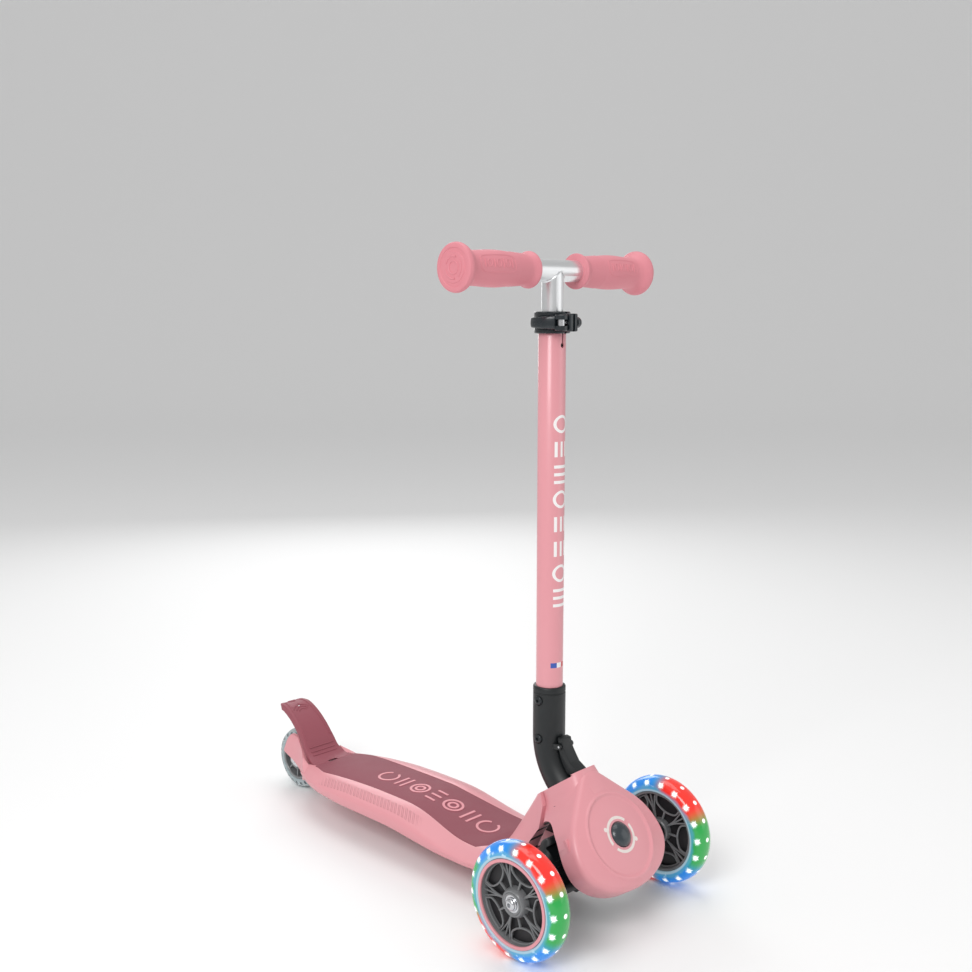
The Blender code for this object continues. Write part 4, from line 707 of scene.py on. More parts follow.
mouth_wide = box((-SLOT_HALF, 0.030, -0.2), (SLOT_HALF, 0.2, -0.020), FACE)
mouth_narrow = box((-0.0085, 0.062, -0.05), (0.0085, 0.2, -0.0085), FACE)
behind = box((-0.12, -0.12, -0.2), (0.12, 0.12, -SPLIT + 0.00015), FACE)
over = box((-0.12, NECK_TOP, -0.3), (0.12, 0.3, -0.012), FACE)
hollow = [face_form(0.003), neck_form(0.003, 0.004), side_opening(), behind, over, mouth_wide, mouth_narrow]
bridge = box((-0.0645, -0.009, -0.0155), (0.0645, 0.018, -0.0125), FACE)
button_room = [(0, 0), (0.0135, 0), (0.0135, 0.03), (0, 0.03)]
button_room = lathe(button_room, FACE @ Vector((0, 0, -0.010)), FACE_OUT, 96)
cover = carved(
    face_form(0),
    ("UNION", [neck_form(0, 0.002)]),
    ("DIFFERENCE", hollow),
    ("UNION", [bridge]),
    ("DIFFERENCE", [button_room]),
)
cover_look = Look("cover_plastic", PINK, 0.40, coat=0.15).worn(0.05, 700, 0.00002)
right_of = cover_look.x
back_of, over_button = cover_look.y + (ORIGIN_Y - FACE_Y), cover_look.z - FACE_Z
up_face = back_of * math.cos(FACE_LEAN) + over_button * math.sin(FACE_LEAN)
out_face = over_button * math.cos(FACE_LEAN) - back_of * math.sin(FACE_LEAN)
from_button = right_of.length(up_face)
ring_print = from_button.rise(0.0158, 0.0161) * from_button.rise(0.0192, 0.0189)
gap_place = (right_of * 0.5 - up_face * 0.866).size()
ring_print = ring_print * gap_place.rise(0.0028, 0.0032)
for place_of_bead in (-30, 150):
    angle = math.radians(place_of_bead)
    bead = (right_of - 0.0205 * math.cos(angle)).length(up_face - 0.0205 * math.sin(angle))
    ring_print = ring_print.most(bead.rise(0.0025, 0.0022))
painted_shade_faces(cover, "inner", in_shadow)
# Painted shade: the inward faces of the head round the arches are painted near black.
cover_look.paint(cover_look.attribute("inner"), (0.012, 0.012, 0.013))
cover_look.paint(ring_print * out_face.rise(-0.003, -0.002), (0.80, 0.72, 0.68))
place("head_cover", cover, "deck", cover_look, "pink_plastic", "front_cover", sharp=30, edge=0.0005)


# Steering lock button: a satin domed push button with a fine groove near its rim.
dome = [(0, 0.0062), (0.0030, 0.0061), (0.0055, 0.0056), (0.0078, 0.0048), (0.0100, 0.0036), (0.0117, 0.0020)]
dome += [(0.0126, 0.0008), (0.0130, 0.0), (0.0132, -0.0010), (0.0132, -0.0033), (0.0155, -0.0033)]
dome += [(0.0155, -0.0052), (0, -0.0052)]
button = lathe(dome, FACE.translation, FACE_OUT, 96)
plunger = [(0, 0), (0.0025, 0), (0.0025, 0.020), (0.002, 0.0205), (0, 0.0205)]
button = merged(button, lathe(plunger, FACE @ Vector((0, 0.0125, -0.0040)), -FACE_OUT, 24))
button_look = Look("button_plastic", (0.022, 0.032, 0.040), 0.30, coat=0.4).worn(0.05, 900, 0.00002)
place("lock_button", button, "steering_lock_button", button_look, "slate_plastic", "steering_lock_button")


# Standing pad: a maroon insert with a fine woven grain and raised pink marks, a row of rings,
# arcs and bars down its middle, where a maker's lettering would be.
pad = pad_form(0.0, 0.0, 90)
pad_look = Look("pad_plastic", (0.29, 0.072, 0.098), 0.62)
weave = pad_look.x.repeat(0.0016).size() + pad_look.y.repeat(0.0016).size()
pad_look.rough(pad_look.noise(60, 4) * 0.16 + 0.52)
pad_look.relief(weave.rise(0.0004, 0.0011), 0.00025)
pad_look.paint(pad_look.noise(25, 3).rise(0.55, 0.75) * 0.25, (0.29, 0.075, 0.10))
place("standing_pad", pad, "deck", pad_look, "maroon_plastic", "deck_grip_pad", edge=0.0007)


def ribbon(path, width, height_at, thick=0.0006, sink=0.0003, closed=False):
    """A flat raised stroke that follows a surface: path is in (x, y), height_at gives z."""
    rings = []
    for i, (x, y) in enumerate(path):
        before = Vector(path[i - 1]) if i or closed else Vector(path[0])
        after = Vector(path[(i + 1) % len(path)]) if i + 1 < len(path) or closed else Vector(path[-1])
        run = (after - before).normalized()
        side = Vector((-run.y, run.x)) * width / 2
        left, right = Vector((x, y)) + side, Vector((x, y)) - side
        corners = ((left, -sink), (left, thick), (right, thick), (right, -sink))
        rings.append([(at.x, at.y, height_at(at.y) + rise) for at, rise in corners])
    return skin(rings, closed=closed)


def arc(x, y, radius, start, end, count=40):
    angles = [math.radians(start + (end - start) * i / (count - 1)) for i in range(count)]
    return [(x + radius * math.cos(a), y + radius * math.sin(a)) for a in angles]


def straight(x0, y0, x1, y1, count=8):
    return [(x0 + (x1 - x0) * i / (count - 1), y0 + (y1 - y0) * i / (count - 1)) for i in range(count)]


def full(x, y, radius, count=48):
    return [(x + radius * math.cos(a), y + radius * math.sin(a)) for a in turns(count)]


marks = []
for k in range(7):
    y = 0.158 + k * 0.0285
    if k in (0, 6):
        marks.append((arc(0, y, 0.0125, 25, 335), False))
    elif k in (1, 5):
        marks += [(straight(-0.0125, y + step, 0.0125, y + step), False) for step in (-0.005, 0.005)]
    elif k in (2, 4):
        marks += [(full(0, y, radius), True) for radius in (0.0115, 0.0055)]
    else:
        marks += [(straight(x, y - 0.008, x, y + 0.008), False) for x in (-0.0110, 0.0, 0.0110)]
strokes = [ribbon(path, 0.0030, deck_top, closed=closed) for path, closed in marks]
mark_look = Look("pad_mark_plastic", (0.74, 0.30, 0.34), 0.5).worn(0.05, 700, 0.00002)
place("pad_marks", merged(*strokes), "deck", mark_look, "pink_plastic")


# Front tyres: clear urethane lit from inside. Six broad bands of colour run round it, with
# eighteen bright lamps near the tread, and a milky inner band by the rim.
def tyre_skin(radius, width, bore, centre, out):
    half = width / 2
    profile = [(bore, half - 0.0006), (bore + 0.0008, half), (bore + 0.3 * (radius - bore), half)]
    shoulder = ((0.0062, 0.0007), (0.0040, 0.0020), (0.0022, 0.0043), (0.0010, 0.0070), (0.0002, 0.0100))
    for under, inside in shoulder:
        profile.append((radius - under, half - inside))
    profile.append((radius, 0.0))
    profile += [(r, -z) for r, z in reversed(profile[:-1])]
    return lathe(profile, centre, out, 128, closed=True)


def polar(look, centre):
    """Wires round an X axle: the angle as a share of a turn, and the distance from the axle."""
    up = look.z - centre.z
    forward = (look.y - (centre.y - ORIGIN_Y)) * -1
    return (up.combine("ARCTAN2", forward) / (2 * math.pi) + 1).combine("FRACT"), forward.length(up)


AXLE = Vector((0, 0, 0.060))
HALF_TRACK = 0.117
LAMPS, LAMP_RADIUS = 18, 0.0552
GLOW_GREEN, GLOW_RED, GLOW_BLUE = (0.010, 0.26, 0.045), (0.62, 0.020, 0.012), (0.004, 0.17, 0.56)
GLOW_COLOURS = [(k / 6, (GLOW_GREEN, GLOW_RED, GLOW_BLUE)[k % 3]) for k in range(6)]
WHEELS = (("left", 1), ("right", -1))
for side, sign in WHEELS:
    centre = AXLE + sign * HALF_TRACK * X
    body = "front_wheel_" + side
    look = Look("lit_urethane_" + side, GLOW_GREEN, 0.16, coat=0.5)
    turn, radius = polar(look, centre)
    for at, colour in GLOW_COLOURS[1:]:
        band = (turn - at + 1.5).combine("FRACT") - 0.5
        look.paint(band.size().rise(0.112, 0.052), colour)
    mottle = (look.noise(55, 3) - 0.5) * 0.010
    look.paint((radius + mottle).rise(0.0530, 0.0490) * 0.75, (0.055, 0.27, 0.40))
    look.paint(look.noise(120, 4).rise(0.60, 0.72) * radius.rise(0.0530, 0.0510) * 0.5, (0.50, 0.68, 0.76))
    look.paint(radius.rise(0.0486, 0.0468) * 0.8, (0.30, 0.42, 0.47))
    spoke = (turn * LAMPS + 0.25).combine("FRACT") - 0.5
    wide = (look.x - centre.x).size()
    around = spoke * (2 * math.pi * LAMP_RADIUS / LAMPS)
    off = radius - LAMP_RADIUS
    near = around.length(off).length((0.0122 - wide).most(0.0) * 1.3)
    across_a = (around + off * 0.6).size() * (around * 0.6 - off).size()
    flare = across_a.rise(0.0000016, 0.0000001) * near.rise(0.0062, 0.0028)
    look.paint(near.rise(0.0052, 0.0022) * 0.5, (0.60, 0.85, 0.80))
    look.paint(near.rise(0.0031, 0.0019).most(flare), (1.0, 1.0, 1.0))
    tread = radius.rise(0.0578, 0.0586)
    lamp = (spoke * (2 * math.pi * AXLE.z / LAMPS)).length(look.x - centre.x)
    look.paint(tread * lamp.rise(0.0030, 0.0016) * 0.9, (1.0, 1.0, 1.0))
    look.rough(look.noise(40, 3) * 0.10 + 0.10)
    look.glow(0.55)
    skin_of_tyre = tyre_skin(AXLE.z, 0.026, 0.0453, centre, sign * X)
    place("front_tyre_skin_" + side, skin_of_tyre, body, look, "clear_urethane", "front_tyre_" + side)


# Rims: a barrel with a rolled lip, a stepped hub, a near-black sheet of painted shade over the floor between,
# and on it five
# D-shaped loops against the barrel, each tied to the hub by a short rib, with a straight rib between.
def arranged(name, piece, count, centre, out):
    """A Geometry Nodes ring of copies of one mesh round an axle, made into a plain mesh."""
    tree = bpy.data.node_groups.new(name, "GeometryNodeTree")
    tree.interface.new_socket("Piece", in_out="INPUT", socket_type="NodeSocketObject")
    tree.interface.new_socket("Count", in_out="INPUT", socket_type="NodeSocketInt")
    tree.interface.new_socket("Geometry", in_out="OUTPUT", socket_type="NodeSocketGeometry")
    node, link = tree.nodes.new, tree.links.new
    given, shown = node("NodeGroupInput"), node("NodeGroupOutput")
    shape, points = node("GeometryNodeObjectInfo"), node("GeometryNodePoints")
    index, spin = node("GeometryNodeInputIndex"), node("ShaderNodeCombineXYZ")
    copies, real = node("GeometryNodeInstanceOnPoints"), node("GeometryNodeRealizeInstances")
    share, angle = node("ShaderNodeMath"), node("ShaderNodeMath")
    share.operation = "DIVIDE"
    angle.operation = "MULTIPLY"
    angle.inputs[1].default_value = 2 * math.pi
    link(given.outputs["Piece"], shape.inputs["Object"])
    link(given.outputs["Count"], points.inputs["Count"])
    link(index.outputs[0], share.inputs[0])
    link(given.outputs["Count"], share.inputs[1])
    link(share.outputs[0], angle.inputs[0])
    link(angle.outputs[0], spin.inputs["Z"])
    link(points.outputs[0], copies.inputs["Points"])
    link(shape.outputs["Geometry"], copies.inputs["Instance"])
    link(spin.outputs[0], copies.inputs["Rotation"])
    link(copies.outputs[0], real.inputs[0])
    link(real.outputs[0], shown.inputs[0])
    source = helper(piece)
    carrier = helper(bmesh.new())
    modifier = carrier.modifiers.new("ring", "NODES")
    modifier.node_group = tree
    sockets = {item.name: item.identifier for item in tree.interface.items_tree}
    modifier[sockets["Piece"]] = source
    modifier[sockets["Count"]] = count
    carrier.update_tag()
    ring = bmesh.new()
    ring.from_mesh(baked(carrier))
    bmesh.ops.transform(ring, matrix=turned_to(centre, out), verts=ring.verts)
    bpy.data.objects.remove(source)
    bpy.data.objects.remove(carrier)
    return ring


def spoke_of(height):
    """One fifth of the pattern, drawn flat at a height over the wheel's middle plane."""
    loop = arc(0, 0, 0.0405, 24, -24, 21)
    inner = [(0.0372, -0.0165), (0.0285, -0.0125), (0.0250, 0), (0.0285, 0.0125), (0.0372, 0.0165)]
    loop += curve_through(inner, 21)
    beads = [sweep([(x, y, height) for x, y in loop], 0.00105, 8, closed=True, flat=1.3, up=Z)]
    beads.append(sweep([(0.0140, 0, height), (0.0255, 0, height)], 0.0012, 8, flat=1.3, up=Z))
    half = math.radians(36)
    for lean in (0.0, 0.16, -0.16):
        knots = [(0.0140, half), (0.026, half + lean * 0.35), (0.0415, half + lean)]
        knots = [(reach * math.cos(angle), reach * math.sin(angle), height) for reach, angle in knots]
        beads.append(sweep(curve_through(knots, 10), 0.0009, 8, flat=1.3, up=Z))
    return merged(*beads)


rim_look = Look("rim_plastic", (0.17, 0.175, 0.18), 0.30, coat=0.3).worn(0.07, 900, 0.00003)
rim_shade_look = Look("rim_shade_paint", (0.012, 0.012, 0.014), 0.5).worn(0.07, 900, 0.00003)
for side, sign in WHEELS:
    centre = AXLE + sign * HALF_TRACK * X
    body = "front_wheel_" + side
    half = 0.011
    profile = [(0.0450, half - 0.0006), (0.0450, -half + 0.0006), (0.0444, -half), (0.0425, -half)]
    profile += [(0.0416, -half + 0.0012), (0.0412, -0.0020), (0.0138, -0.0020), (0.0138, -half + 0.0008)]
    profile += [(0.0130, -half), (0.0113, -half), (0.0113, half), (0.0130, half), (0.0138, half - 0.0008)]
    profile += [(0.0152, half - 0.0042), (0.0160, 0.0020)]
    profile += [(0.0400, 0.0020), (0.0412, half - 0.0022), (0.0418, half), (0.0444, half)]
    barrel = lathe(profile, centre, sign * X, 96, closed=True)
    place("rim_barrel_" + side, barrel, body, rim_look, "grey_plastic", "front_rim_" + side)
    # Painted shade: thin near-black sheets laid just over the barrel's grey floor between the ribs.
    shade_sheets = []
    for near, far, face in ((0.0162, 0.0404, 1), (0.0140, 0.0410, -1)):
        web = [(near, face * 0.0030), (near, face * 0.0021), (far, face * 0.0021), (far, face * 0.0030)]
        shade_sheets.append(lathe(web, centre, sign * X, 96, closed=True))
    place("rim_web_" + side, merged(*shade_sheets), body, rim_shade_look, "grey_plastic")
    front = arranged("front_ribs_" + side, spoke_of(0.0064), 5, centre, sign * X)
    rear = arranged("rear_ribs_" + side, spoke_of(0.0066), 5, centre, -sign * X)
    place("rim_ribs_" + side, merged(front, rear), body, rim_look, "grey_plastic")
    collar = [(0.0110, 0.0112), (0.0110, 0.0085), (0.0088, 0.0085), (0.0088, 0.0112), (0.0095, 0.0116)]
    collar = lathe([*collar, (0.0104, 0.0116)], centre, sign * X, 64, closed=True)
    place("hub_ring_" + side, collar, body, rim_look, "grey_plastic")
    trim = [(0.0447, 0.0113), (0.0447, 0.0130), (0.0441, 0.0134), (0.0420, 0.0134), (0.0414, 0.0129)]
    trim = lathe([*trim, (0.0414, 0.0113)], centre, sign * X, 128, closed=True)
    place("trim_ring_skin_" + side, trim, body, pink_trim, "pink_trim", "trim_ring_" + side)


# Front axle bolts: domed socket heads over a flange, bright zinc.
for side, sign in WHEELS:
    out = sign * X
    base = AXLE + sign * (0.128 + 0.0003) * X
    head = [(0, 0), (0.0068, 0), (0.0068, 0.0007), (0.0064, 0.0012), (0.0059, 0.0013), (0.0059, 0.0020)]
    head += [(0.0054, 0.0028), (0.0044, 0.0036), (0.0032, 0.0040), (0, 0.0040)]
    socket = lathe([(0, 0), (0.0026, 0), (0.0026, 0.004), (0, 0.004)], base + 0.0016 * out, out, 6)
    bolt = carved(lathe(head, base, out, 64), ("DIFFERENCE", [socket]))
    shank = bar(0.004, base - 0.0479 * out, base + 0.0002 * out, 32, 0.0005)
    bolt = merged(bolt, shank)
    place("axle_bolt_" + side, bolt, "front_carrier", zinc_steel, "zinc_steel", "front_axle_bolt_" + side)


# Rear wheel: a smaller clear tyre with a ring of dark cavities inside, on a plain grey rim.
REAR = Vector((0, WHEELBASE, 0.040))
rear_look = Look("clear_urethane", (0.60, 0.70, 0.72), 0.14, coat=0.5)
turn, radius = polar(rear_look, REAR)
DOTS, DOT_RADIUS = 22, 0.0335
cell = (turn * DOTS).combine("FRACT") - 0.5
dot = (cell * (2 * math.pi * DOT_RADIUS / DOTS)).length(radius - DOT_RADIUS)
rear_look.paint(radius.rise(0.0375, 0.0300) * 0.6, (0.33, 0.42, 0.45))
rear_look.paint(dot.rise(0.0027, 0.0019), (0.10, 0.13, 0.15))
rear_look.rough(rear_look.noise(40, 3) * 0.10 + 0.09)
rear_look.shader.inputs["Transmission Weight"].default_value = 0.35
rear_look.shader.inputs["IOR"].default_value = 1.45
rear_tyre = tyre_skin(REAR.z, 0.024, 0.0273, REAR, X)
place("rear_tyre_skin", rear_tyre, "rear_wheel", rear_look, "clear_urethane", "rear_tyre")
profile = [(0.0270, -0.0115), (0.0262, -0.0120), (0.0244, -0.0120), (0.0238, -0.0112), (0.0236, -0.0030)]
profile += [(0.0140, -0.0030), (0.0138, -0.0112), (0.0130, -0.0120), (0.0113, -0.0120)]
profile += [(r, -z) for r, z in reversed(profile)]
rear_barrel = lathe(profile, REAR, X, 96, closed=True)
rib = [box((0.0136, -0.0010, low), (0.0240, 0.0010, low + 0.0075)) for low in (0.0025, -0.0100)]
rear_ribs = arranged("rear_wheel_ribs", merged(*rib), 8, REAR, X)
place("rear_rim_skin", merged(rear_barrel, rear_ribs), "rear_wheel", rim_look, "grey_plastic", "rear_rim")


# Brake flap: a dished tail that sweeps up from the deck over the rear wheel, with side flanges,
# ribs across its heel, raised arcs and a ring boss on the tread and a finger hole near the tip.
TAIL = [(0.000, 0.0040, 0.0295, 0.0034), (0.010, 0.0065, 0.0280, 0.0040), (0.020, 0.0135, 0.0255, 0.0060)]
TAIL += [(0.029, 0.0270, 0.0235, 0.0080), (0.043, 0.0430, 0.0222, 0.0080), (0.058, 0.0550, 0.0212, 0.0080)]
TAIL += [(0.073, 0.0625, 0.0202, 0.0080), (0.084, 0.0636, 0.0185, 0.0078), (0.091, 0.0622, 0.0155, 0.0072)]
TAIL += [(0.0960, 0.0594, 0.0110, 0.0062), (0.0995, 0.0560, 0.0040, 0.0050)]
run = curve_through(TAIL, 80)
last = len(run) - 1
points = [Vector((0, TAIL_Y + back, TAIL_Z + up)) for back, up, _, _ in run]
tangents = [(points[min(i + 1, last)] - points[max(i - 1, 0)]).normalized() for i in range(len(run))]
rings = []
for point, along, (_, _, half, flange) in zip(points, tangents, run):
    under = Vector((0, along.z, -along.y))
    top = min(0.003, flange - 0.0004)
    right = [(half * 0.5, 0.0004), (half - 0.0016, 0), (half - 0.0005, 0.0005), (half, 0.0016)]
    right += [(half, flange), (half - 0.0025, flange), (half - 0.0025, top)]
    section = [(0, 0.0006), *right, *[(-x, depth) for x, depth in reversed(right)]]
    rings.append([point + x * X + depth * under for x, depth in section])
flap = skin(rings)
hinges = [bar(0.0045, (s * 0.0070, TAIL_Y, TAIL_Z), (s * 0.0302, TAIL_Y, TAIL_Z), 48) for s in (-1, 1)]
rooms = [(0.0023, 0.04), (0.0047, 0.0070)]
rooms = [bar(r, (-half, TAIL_Y, TAIL_Z), (half, TAIL_Y, TAIL_Z), 32) for r, half in rooms]
loop_at = Vector((0, TAIL_Y + 0.072, TAIL_Z + 0.060))
loop_way = Vector((0, -0.3, 0.95))
hole = bar(0.0028, loop_at - 0.02 * loop_way, loop_at + 0.02 * loop_way, 32)
flap = carved(flap, ("UNION", hinges), ("DIFFERENCE", [*rooms, hole]))


def on_flap(x, s):
    """A point of the flap's tread: s runs 0 to 1 from heel to tip."""
    at = s * last
    k = min(int(at), last - 1)
    point = points[k].lerp(points[k + 1], at - k)
    along = tangents[k].lerp(tangents[k + 1], at - k).normalized()
    up = Vector((0, -along.z, along.y))
    half = run[k][2]
    return point + x * X - 0.0006 * (1 - min(abs(x) / half, 1)) * up


beads = []
for radius in (0.0060, 0.0095, 0.0130):
    angles = [math.radians(a) for a in range(-62, 63, 6)]
    bow = [on_flap(radius * 1.1 * math.sin(a), 0.50 + radius * 6.75 * math.cos(a)) for a in angles]
    beads.append(sweep(bow, 0.0010, 8, flat=0.8, up=(0, -0.6, 0.8)))
around = [on_flap(0.0055 * math.cos(a), 0.735 + 0.040 * math.sin(a)) for a in turns(36)]
beads.append(sweep(around, 0.0010, 8, closed=True, flat=0.8, up=(0, -0.4, 0.9)))
for s in (0.16, 0.20, 0.24):
    line = [on_flap(x, s) for x in np.linspace(-0.019, 0.019, 13).tolist()]
    beads.append(sweep(line, 0.0009, 8, flat=0.8, up=(0, -0.3, 0.95)))
for sign in (-1, 1):
    rail = [on_flap(sign * (0.0195 - 0.0075 * t), 0.30 + 0.42 * t) for t in np.linspace(0, 1, 20).tolist()]
    beads.append(sweep(rail, 0.0009, 8, flat=0.8, up=(0, -0.6, 0.8)))
flap_look = Look("flap_plastic", (0.30, 0.075, 0.10), 0.55)
flap_look.rough(flap_look.noise(60, 4) * 0.14 + 0.46)
flap_look.relief(flap_look.noise(900, 1), 0.00006)
place("tail_flap", merged(flap, *beads), "brake_flap", flap_look, "maroon_plastic", "brake_flap", sharp=34)


# Carrier: the black arms that hold the front wheels, with a boxed rib along each arm's face and
# a round boss at the axle. It shows through the arches and behind the wheels.
HUB_FRONT, HUB_REAR = 0.028, 0.046
axle_local = FACE.inverted() @ AXLE
axle_up, axle_depth = axle_local.y, -axle_local.z
BOSS = 0.013
ARM = [(x, HUB_FRONT, HUB_REAR, -0.026, 0.022) for x in (0.0, 0.022)]
ARM += [(0.036, 0.0400, 0.0590, -0.030, 0.0275), (0.055, 0.0410, 0.0610, -0.030, 0.0280)]
ARM += [(0.068, 0.0410, 0.0630, -0.029, 0.0120)]
ARM += [(x, axle_depth - BOSS, axle_depth + BOSS, axle_up - BOSS, axle_up + BOSS) for x in (0.082, 0.100)]


def arm_ring(x, front, rear, low, high, sides=64):
    ring = []
    for i in range(sides):
        angle = 2 * math.pi * (i + 0.5) / sides
        across, along = math.cos(angle), math.sin(angle)
        power = 3.2 - 1.2 * smooth_step(abs(x), 0.070, 0.082)
        soft = (abs(across) ** power + abs(along) ** power) ** (-1 / power)
        depth = (front + rear) / 2 + (rear - front) / 2 * soft * across
        ring.append((x, (low + high) / 2 + (high - low) / 2 * soft * along, -depth))
    return ring


def arm_at(x):
    xs = [station[0] for station in ARM]
    near = [abs(x) + d for d in (-0.002, 0, 0.002)]
    columns = [[station[c] for station in ARM] for c in (1, 2, 3, 4)]
    return [sum(np.interp(near, xs, column)) / len(near) for column in columns]


places = np.linspace(-0.100, 0.100, 90).tolist()
carrier = skin([arm_ring(x, *arm_at(x)) for x in places], FACE)
bore = [(0, 0), (0.0083, 0), (0.0083, 0.10), (0, 0.10)]
bore = lathe(bore, FACE @ Vector((0, 0, -0.1)), FACE_OUT, 48)
ends = [bar(0.0043, AXLE + s * 0.078 * X, AXLE + s * 0.11 * X, 32) for s in (-1, 1)]
recesses = []
for s in (-1, 1):
    for low, high, left, right in ((-0.022, -0.002, 0.040, 0.064), (0.003, 0.020, 0.041, 0.062)):
        near, far = sorted((s * left, s * right))
        recesses.append(box((near, low, -0.0465), (far, high, -0.030), FACE, 0.002))
carrier = carved(carrier, ("DIFFERENCE", [bore, *ends, *recesses]))
place("wheel_carrier", carrier, "front_carrier", black_nylon, "black_nylon", "front_carrier", sharp=38)


# Elbow: a black moulded tube that bends from the fold pin up to the socket of the steering tube,
# with a rolled collar at its top, two countersunk screws and lugs for the fold lever.
ELBOW_R, BEND_R, BEND_TOP, ELBOW_TOP = 0.01735, 0.070, 0.184, 0.2383
BEND_CENTRE = Vector((0, TUBE_Y - BEND_R, BEND_TOP))
QUARTER = math.radians(45)


def bend_point(angle, radius=BEND_R):
    return BEND_CENTRE + radius * Vector((0, math.cos(angle), -math.sin(angle)))


FOLD = bend_point(QUARTER) - 0.023 * Vector((0, math.sin(QUARTER), math.cos(QUARTER)))
rim = [(0, -0.0014), (0.0006, -0.0004), (0.0014, 0.0), (0.0060, 0.0), (0.0066, -0.0006), (0.0072, -0.0006)]
rim.append((0.0078, 0.0))
path = [(Vector((0, TUBE_Y, ELBOW_TOP - below)), 0.0, grow) for below, grow in rim]
path += [(bend_point(QUARTER * i / 20), QUARTER * i / 20, 0.0) for i in range(21)]
down = Vector((0, math.sin(QUARTER), math.cos(QUARTER)))
path.append((FOLD + 0.018 * down, QUARTER, 0.0))
rings = []
for centre, angle, grow in path:
    across = Vector((0, math.cos(angle), -math.sin(angle)))
    rings.append([centre + (ELBOW_R + grow) * (math.cos(t) * X + math.sin(t) * across) for t in turns(72)])
elbow = skin(rings)
knuckle = bar(0.012, FOLD - 0.012 * X, FOLD + 0.012 * X, 64)
leaning = Matrix.Translation(FOLD) @ Matrix.Rotation(-QUARTER, 4, "X")
web = box((-0.012, -0.0115, 0), (0.012, 0.0115, 0.020), leaning)
LEVER_AT = bend_point(math.radians(9), BEND_R - ELBOW_R - 0.0046)
LUG_ROOT = bend_point(math.radians(9), BEND_R - ELBOW_R + 0.004)
lugs = []
for s in (-1, 1):
    near, far = s * 0.0078, s * 0.0105
    lugs.append(bar(0.0030, LEVER_AT + near * X, LEVER_AT + far * X, 32))
    corners = ((LEVER_AT, -1), (LUG_ROOT, -1), (LUG_ROOT, 1), (LEVER_AT, 1))
    lugs.append(strip([(at.y, at.z + way * 0.0029) for at, way in corners], near, far))
tube_axis = Vector((0, TUBE_Y, 0))
cuts = [bar(0.0146, tube_axis + 0.170 * Z, tube_axis + 0.3 * Z, 72)]
cuts.append(bar(0.0033, FOLD - 0.03 * X, FOLD + 0.03 * X, 32))
cuts.append(bar(0.0015, LEVER_AT - 0.03 * X, LEVER_AT + 0.03 * X, 24))
SCREWS = (("upper", 0.224), ("lower", 0.182))
for _, height in SCREWS:
    outer = tube_axis + Vector((-0.03, 0, height))
    cuts.append(bar(0.0056, outer, tube_axis + Vector((-ELBOW_R + 0.0011, 0, height)), 40))
elbow = carved(elbow, ("UNION", [knuckle, web]), ("UNION", lugs), ("DIFFERENCE", cuts))
place("elbow", elbow, "stem", black_nylon, "black_nylon", "stem_elbow", sharp=34)
screw_look = Look("black_screw", (0.030, 0.034, 0.037), 0.28, metallic=0.6).worn(0.06, 600, 0.00002)
for name, height in SCREWS:
    at = tube_axis + Vector((-ELBOW_R + 0.0008, 0, height))
    head = [(0, 0), (0.0048, 0), (0.0048, 0.0012), (0.0044, 0.0019), (0.0036, 0.0023), (0, 0.0024)]
    socket = lathe([(0, 0), (0.0021, 0), (0.0021, 0.004), (0, 0.004)], at - 0.0008 * X, -X, 6)
    head = carved(lathe(head, at, -X, 48), ("DIFFERENCE", [socket]))
    shank = bar(0.002, at + 0.0001 * X, tube_axis + Vector((-0.0105, 0, height)), 24)
    screw = merged(head, shank)
    place("elbow_screw_head_" + name, screw, "stem", screw_look, "black_nylon", "elbow_screw_" + name)


# Fold lever: a fin in front of the elbow, thick at the finger end and slim where it hooks the neck.
inner = BEND_R - ELBOW_R - 0.0014
outline = [bend_point(math.radians(d), inner) for d in np.linspace(-2, 42, 16).tolist()]
tip = FACE @ Vector((0, 0.0665, -0.0115))
front = [(34, 0.0125), (22, 0.0115), (9, 0.0088), (-1, 0.0075)]
front = [bend_point(math.radians(d), inner - s + 0.0014) for d, s in front]
outline = [(p.y, p.z) for p in outline]
outline += [(tip.y + 0.006, tip.z - 0.0035), (tip.y, tip.z), (tip.y + 0.0015, tip.z + 0.0045)]
outline += [(y, z) for _, y, z in curve_through(front, 14)]
lever = strip(outline, -0.0075, 0.0075)
pin_hole = bar(0.0015, LEVER_AT - 0.02 * X, LEVER_AT + 0.02 * X, 24)
lever = carved(lever, ("DIFFERENCE", [pin_hole]))
place("fold_lever_skin", lever, "fold_lever", black_nylon, "black_nylon", "fold_lever", sharp=38, edge=0.0009)


# Steering tube: pink powder coat with white marks up its front, rings, arcs and bars in place of
# lettering, and a small three-band sticker low down. Four holes for the height button are behind.
SLIT_LOW = 0.597


def clamp_slit():
    return box((-0.0012, 0.0, SLIT_LOW), (0.0012, TUBE_Y, 0.7))


tube = [(0.0143, 0.1703), (0.0143, 0.6285), (0.0140, 0.6290), (0.0128, 0.6290), (0.0128, 0.1703)]
tube = lathe(tube, tube_axis, Z, 96, closed=True)
holes = []
for k in range(4):
    height = 0.42 + 0.05 * k
    holes.append(bar(0.0035, (0, TUBE_Y + 0.008, height), (0, TUBE_Y + 0.028, height), 32))
slit_end = bar(0.0026, (0, 0, SLIT_LOW), (0, TUBE_Y, SLIT_LOW), 32)
tube = carved(tube, ("DIFFERENCE", holes), ("DIFFERENCE", [clamp_slit(), slit_end]))
tube_look = Look("tube_paint", PINK, 0.30, coat=0.35).worn(0.04, 500, 0.00001)
in_front = (tube_look.y + (ORIGIN_Y - TUBE_Y)).rise(-0.003, -0.005)
u = tube_look.x


def bars(wire, pitch, half, reach):
    """Stripes across a wire at a pitch, as far as a reach on either side."""
    stripes = wire.repeat(pitch).size().rise(half + 0.0001, half - 0.0001)
    return stripes * wire.size().rise(reach, reach - 0.0002)


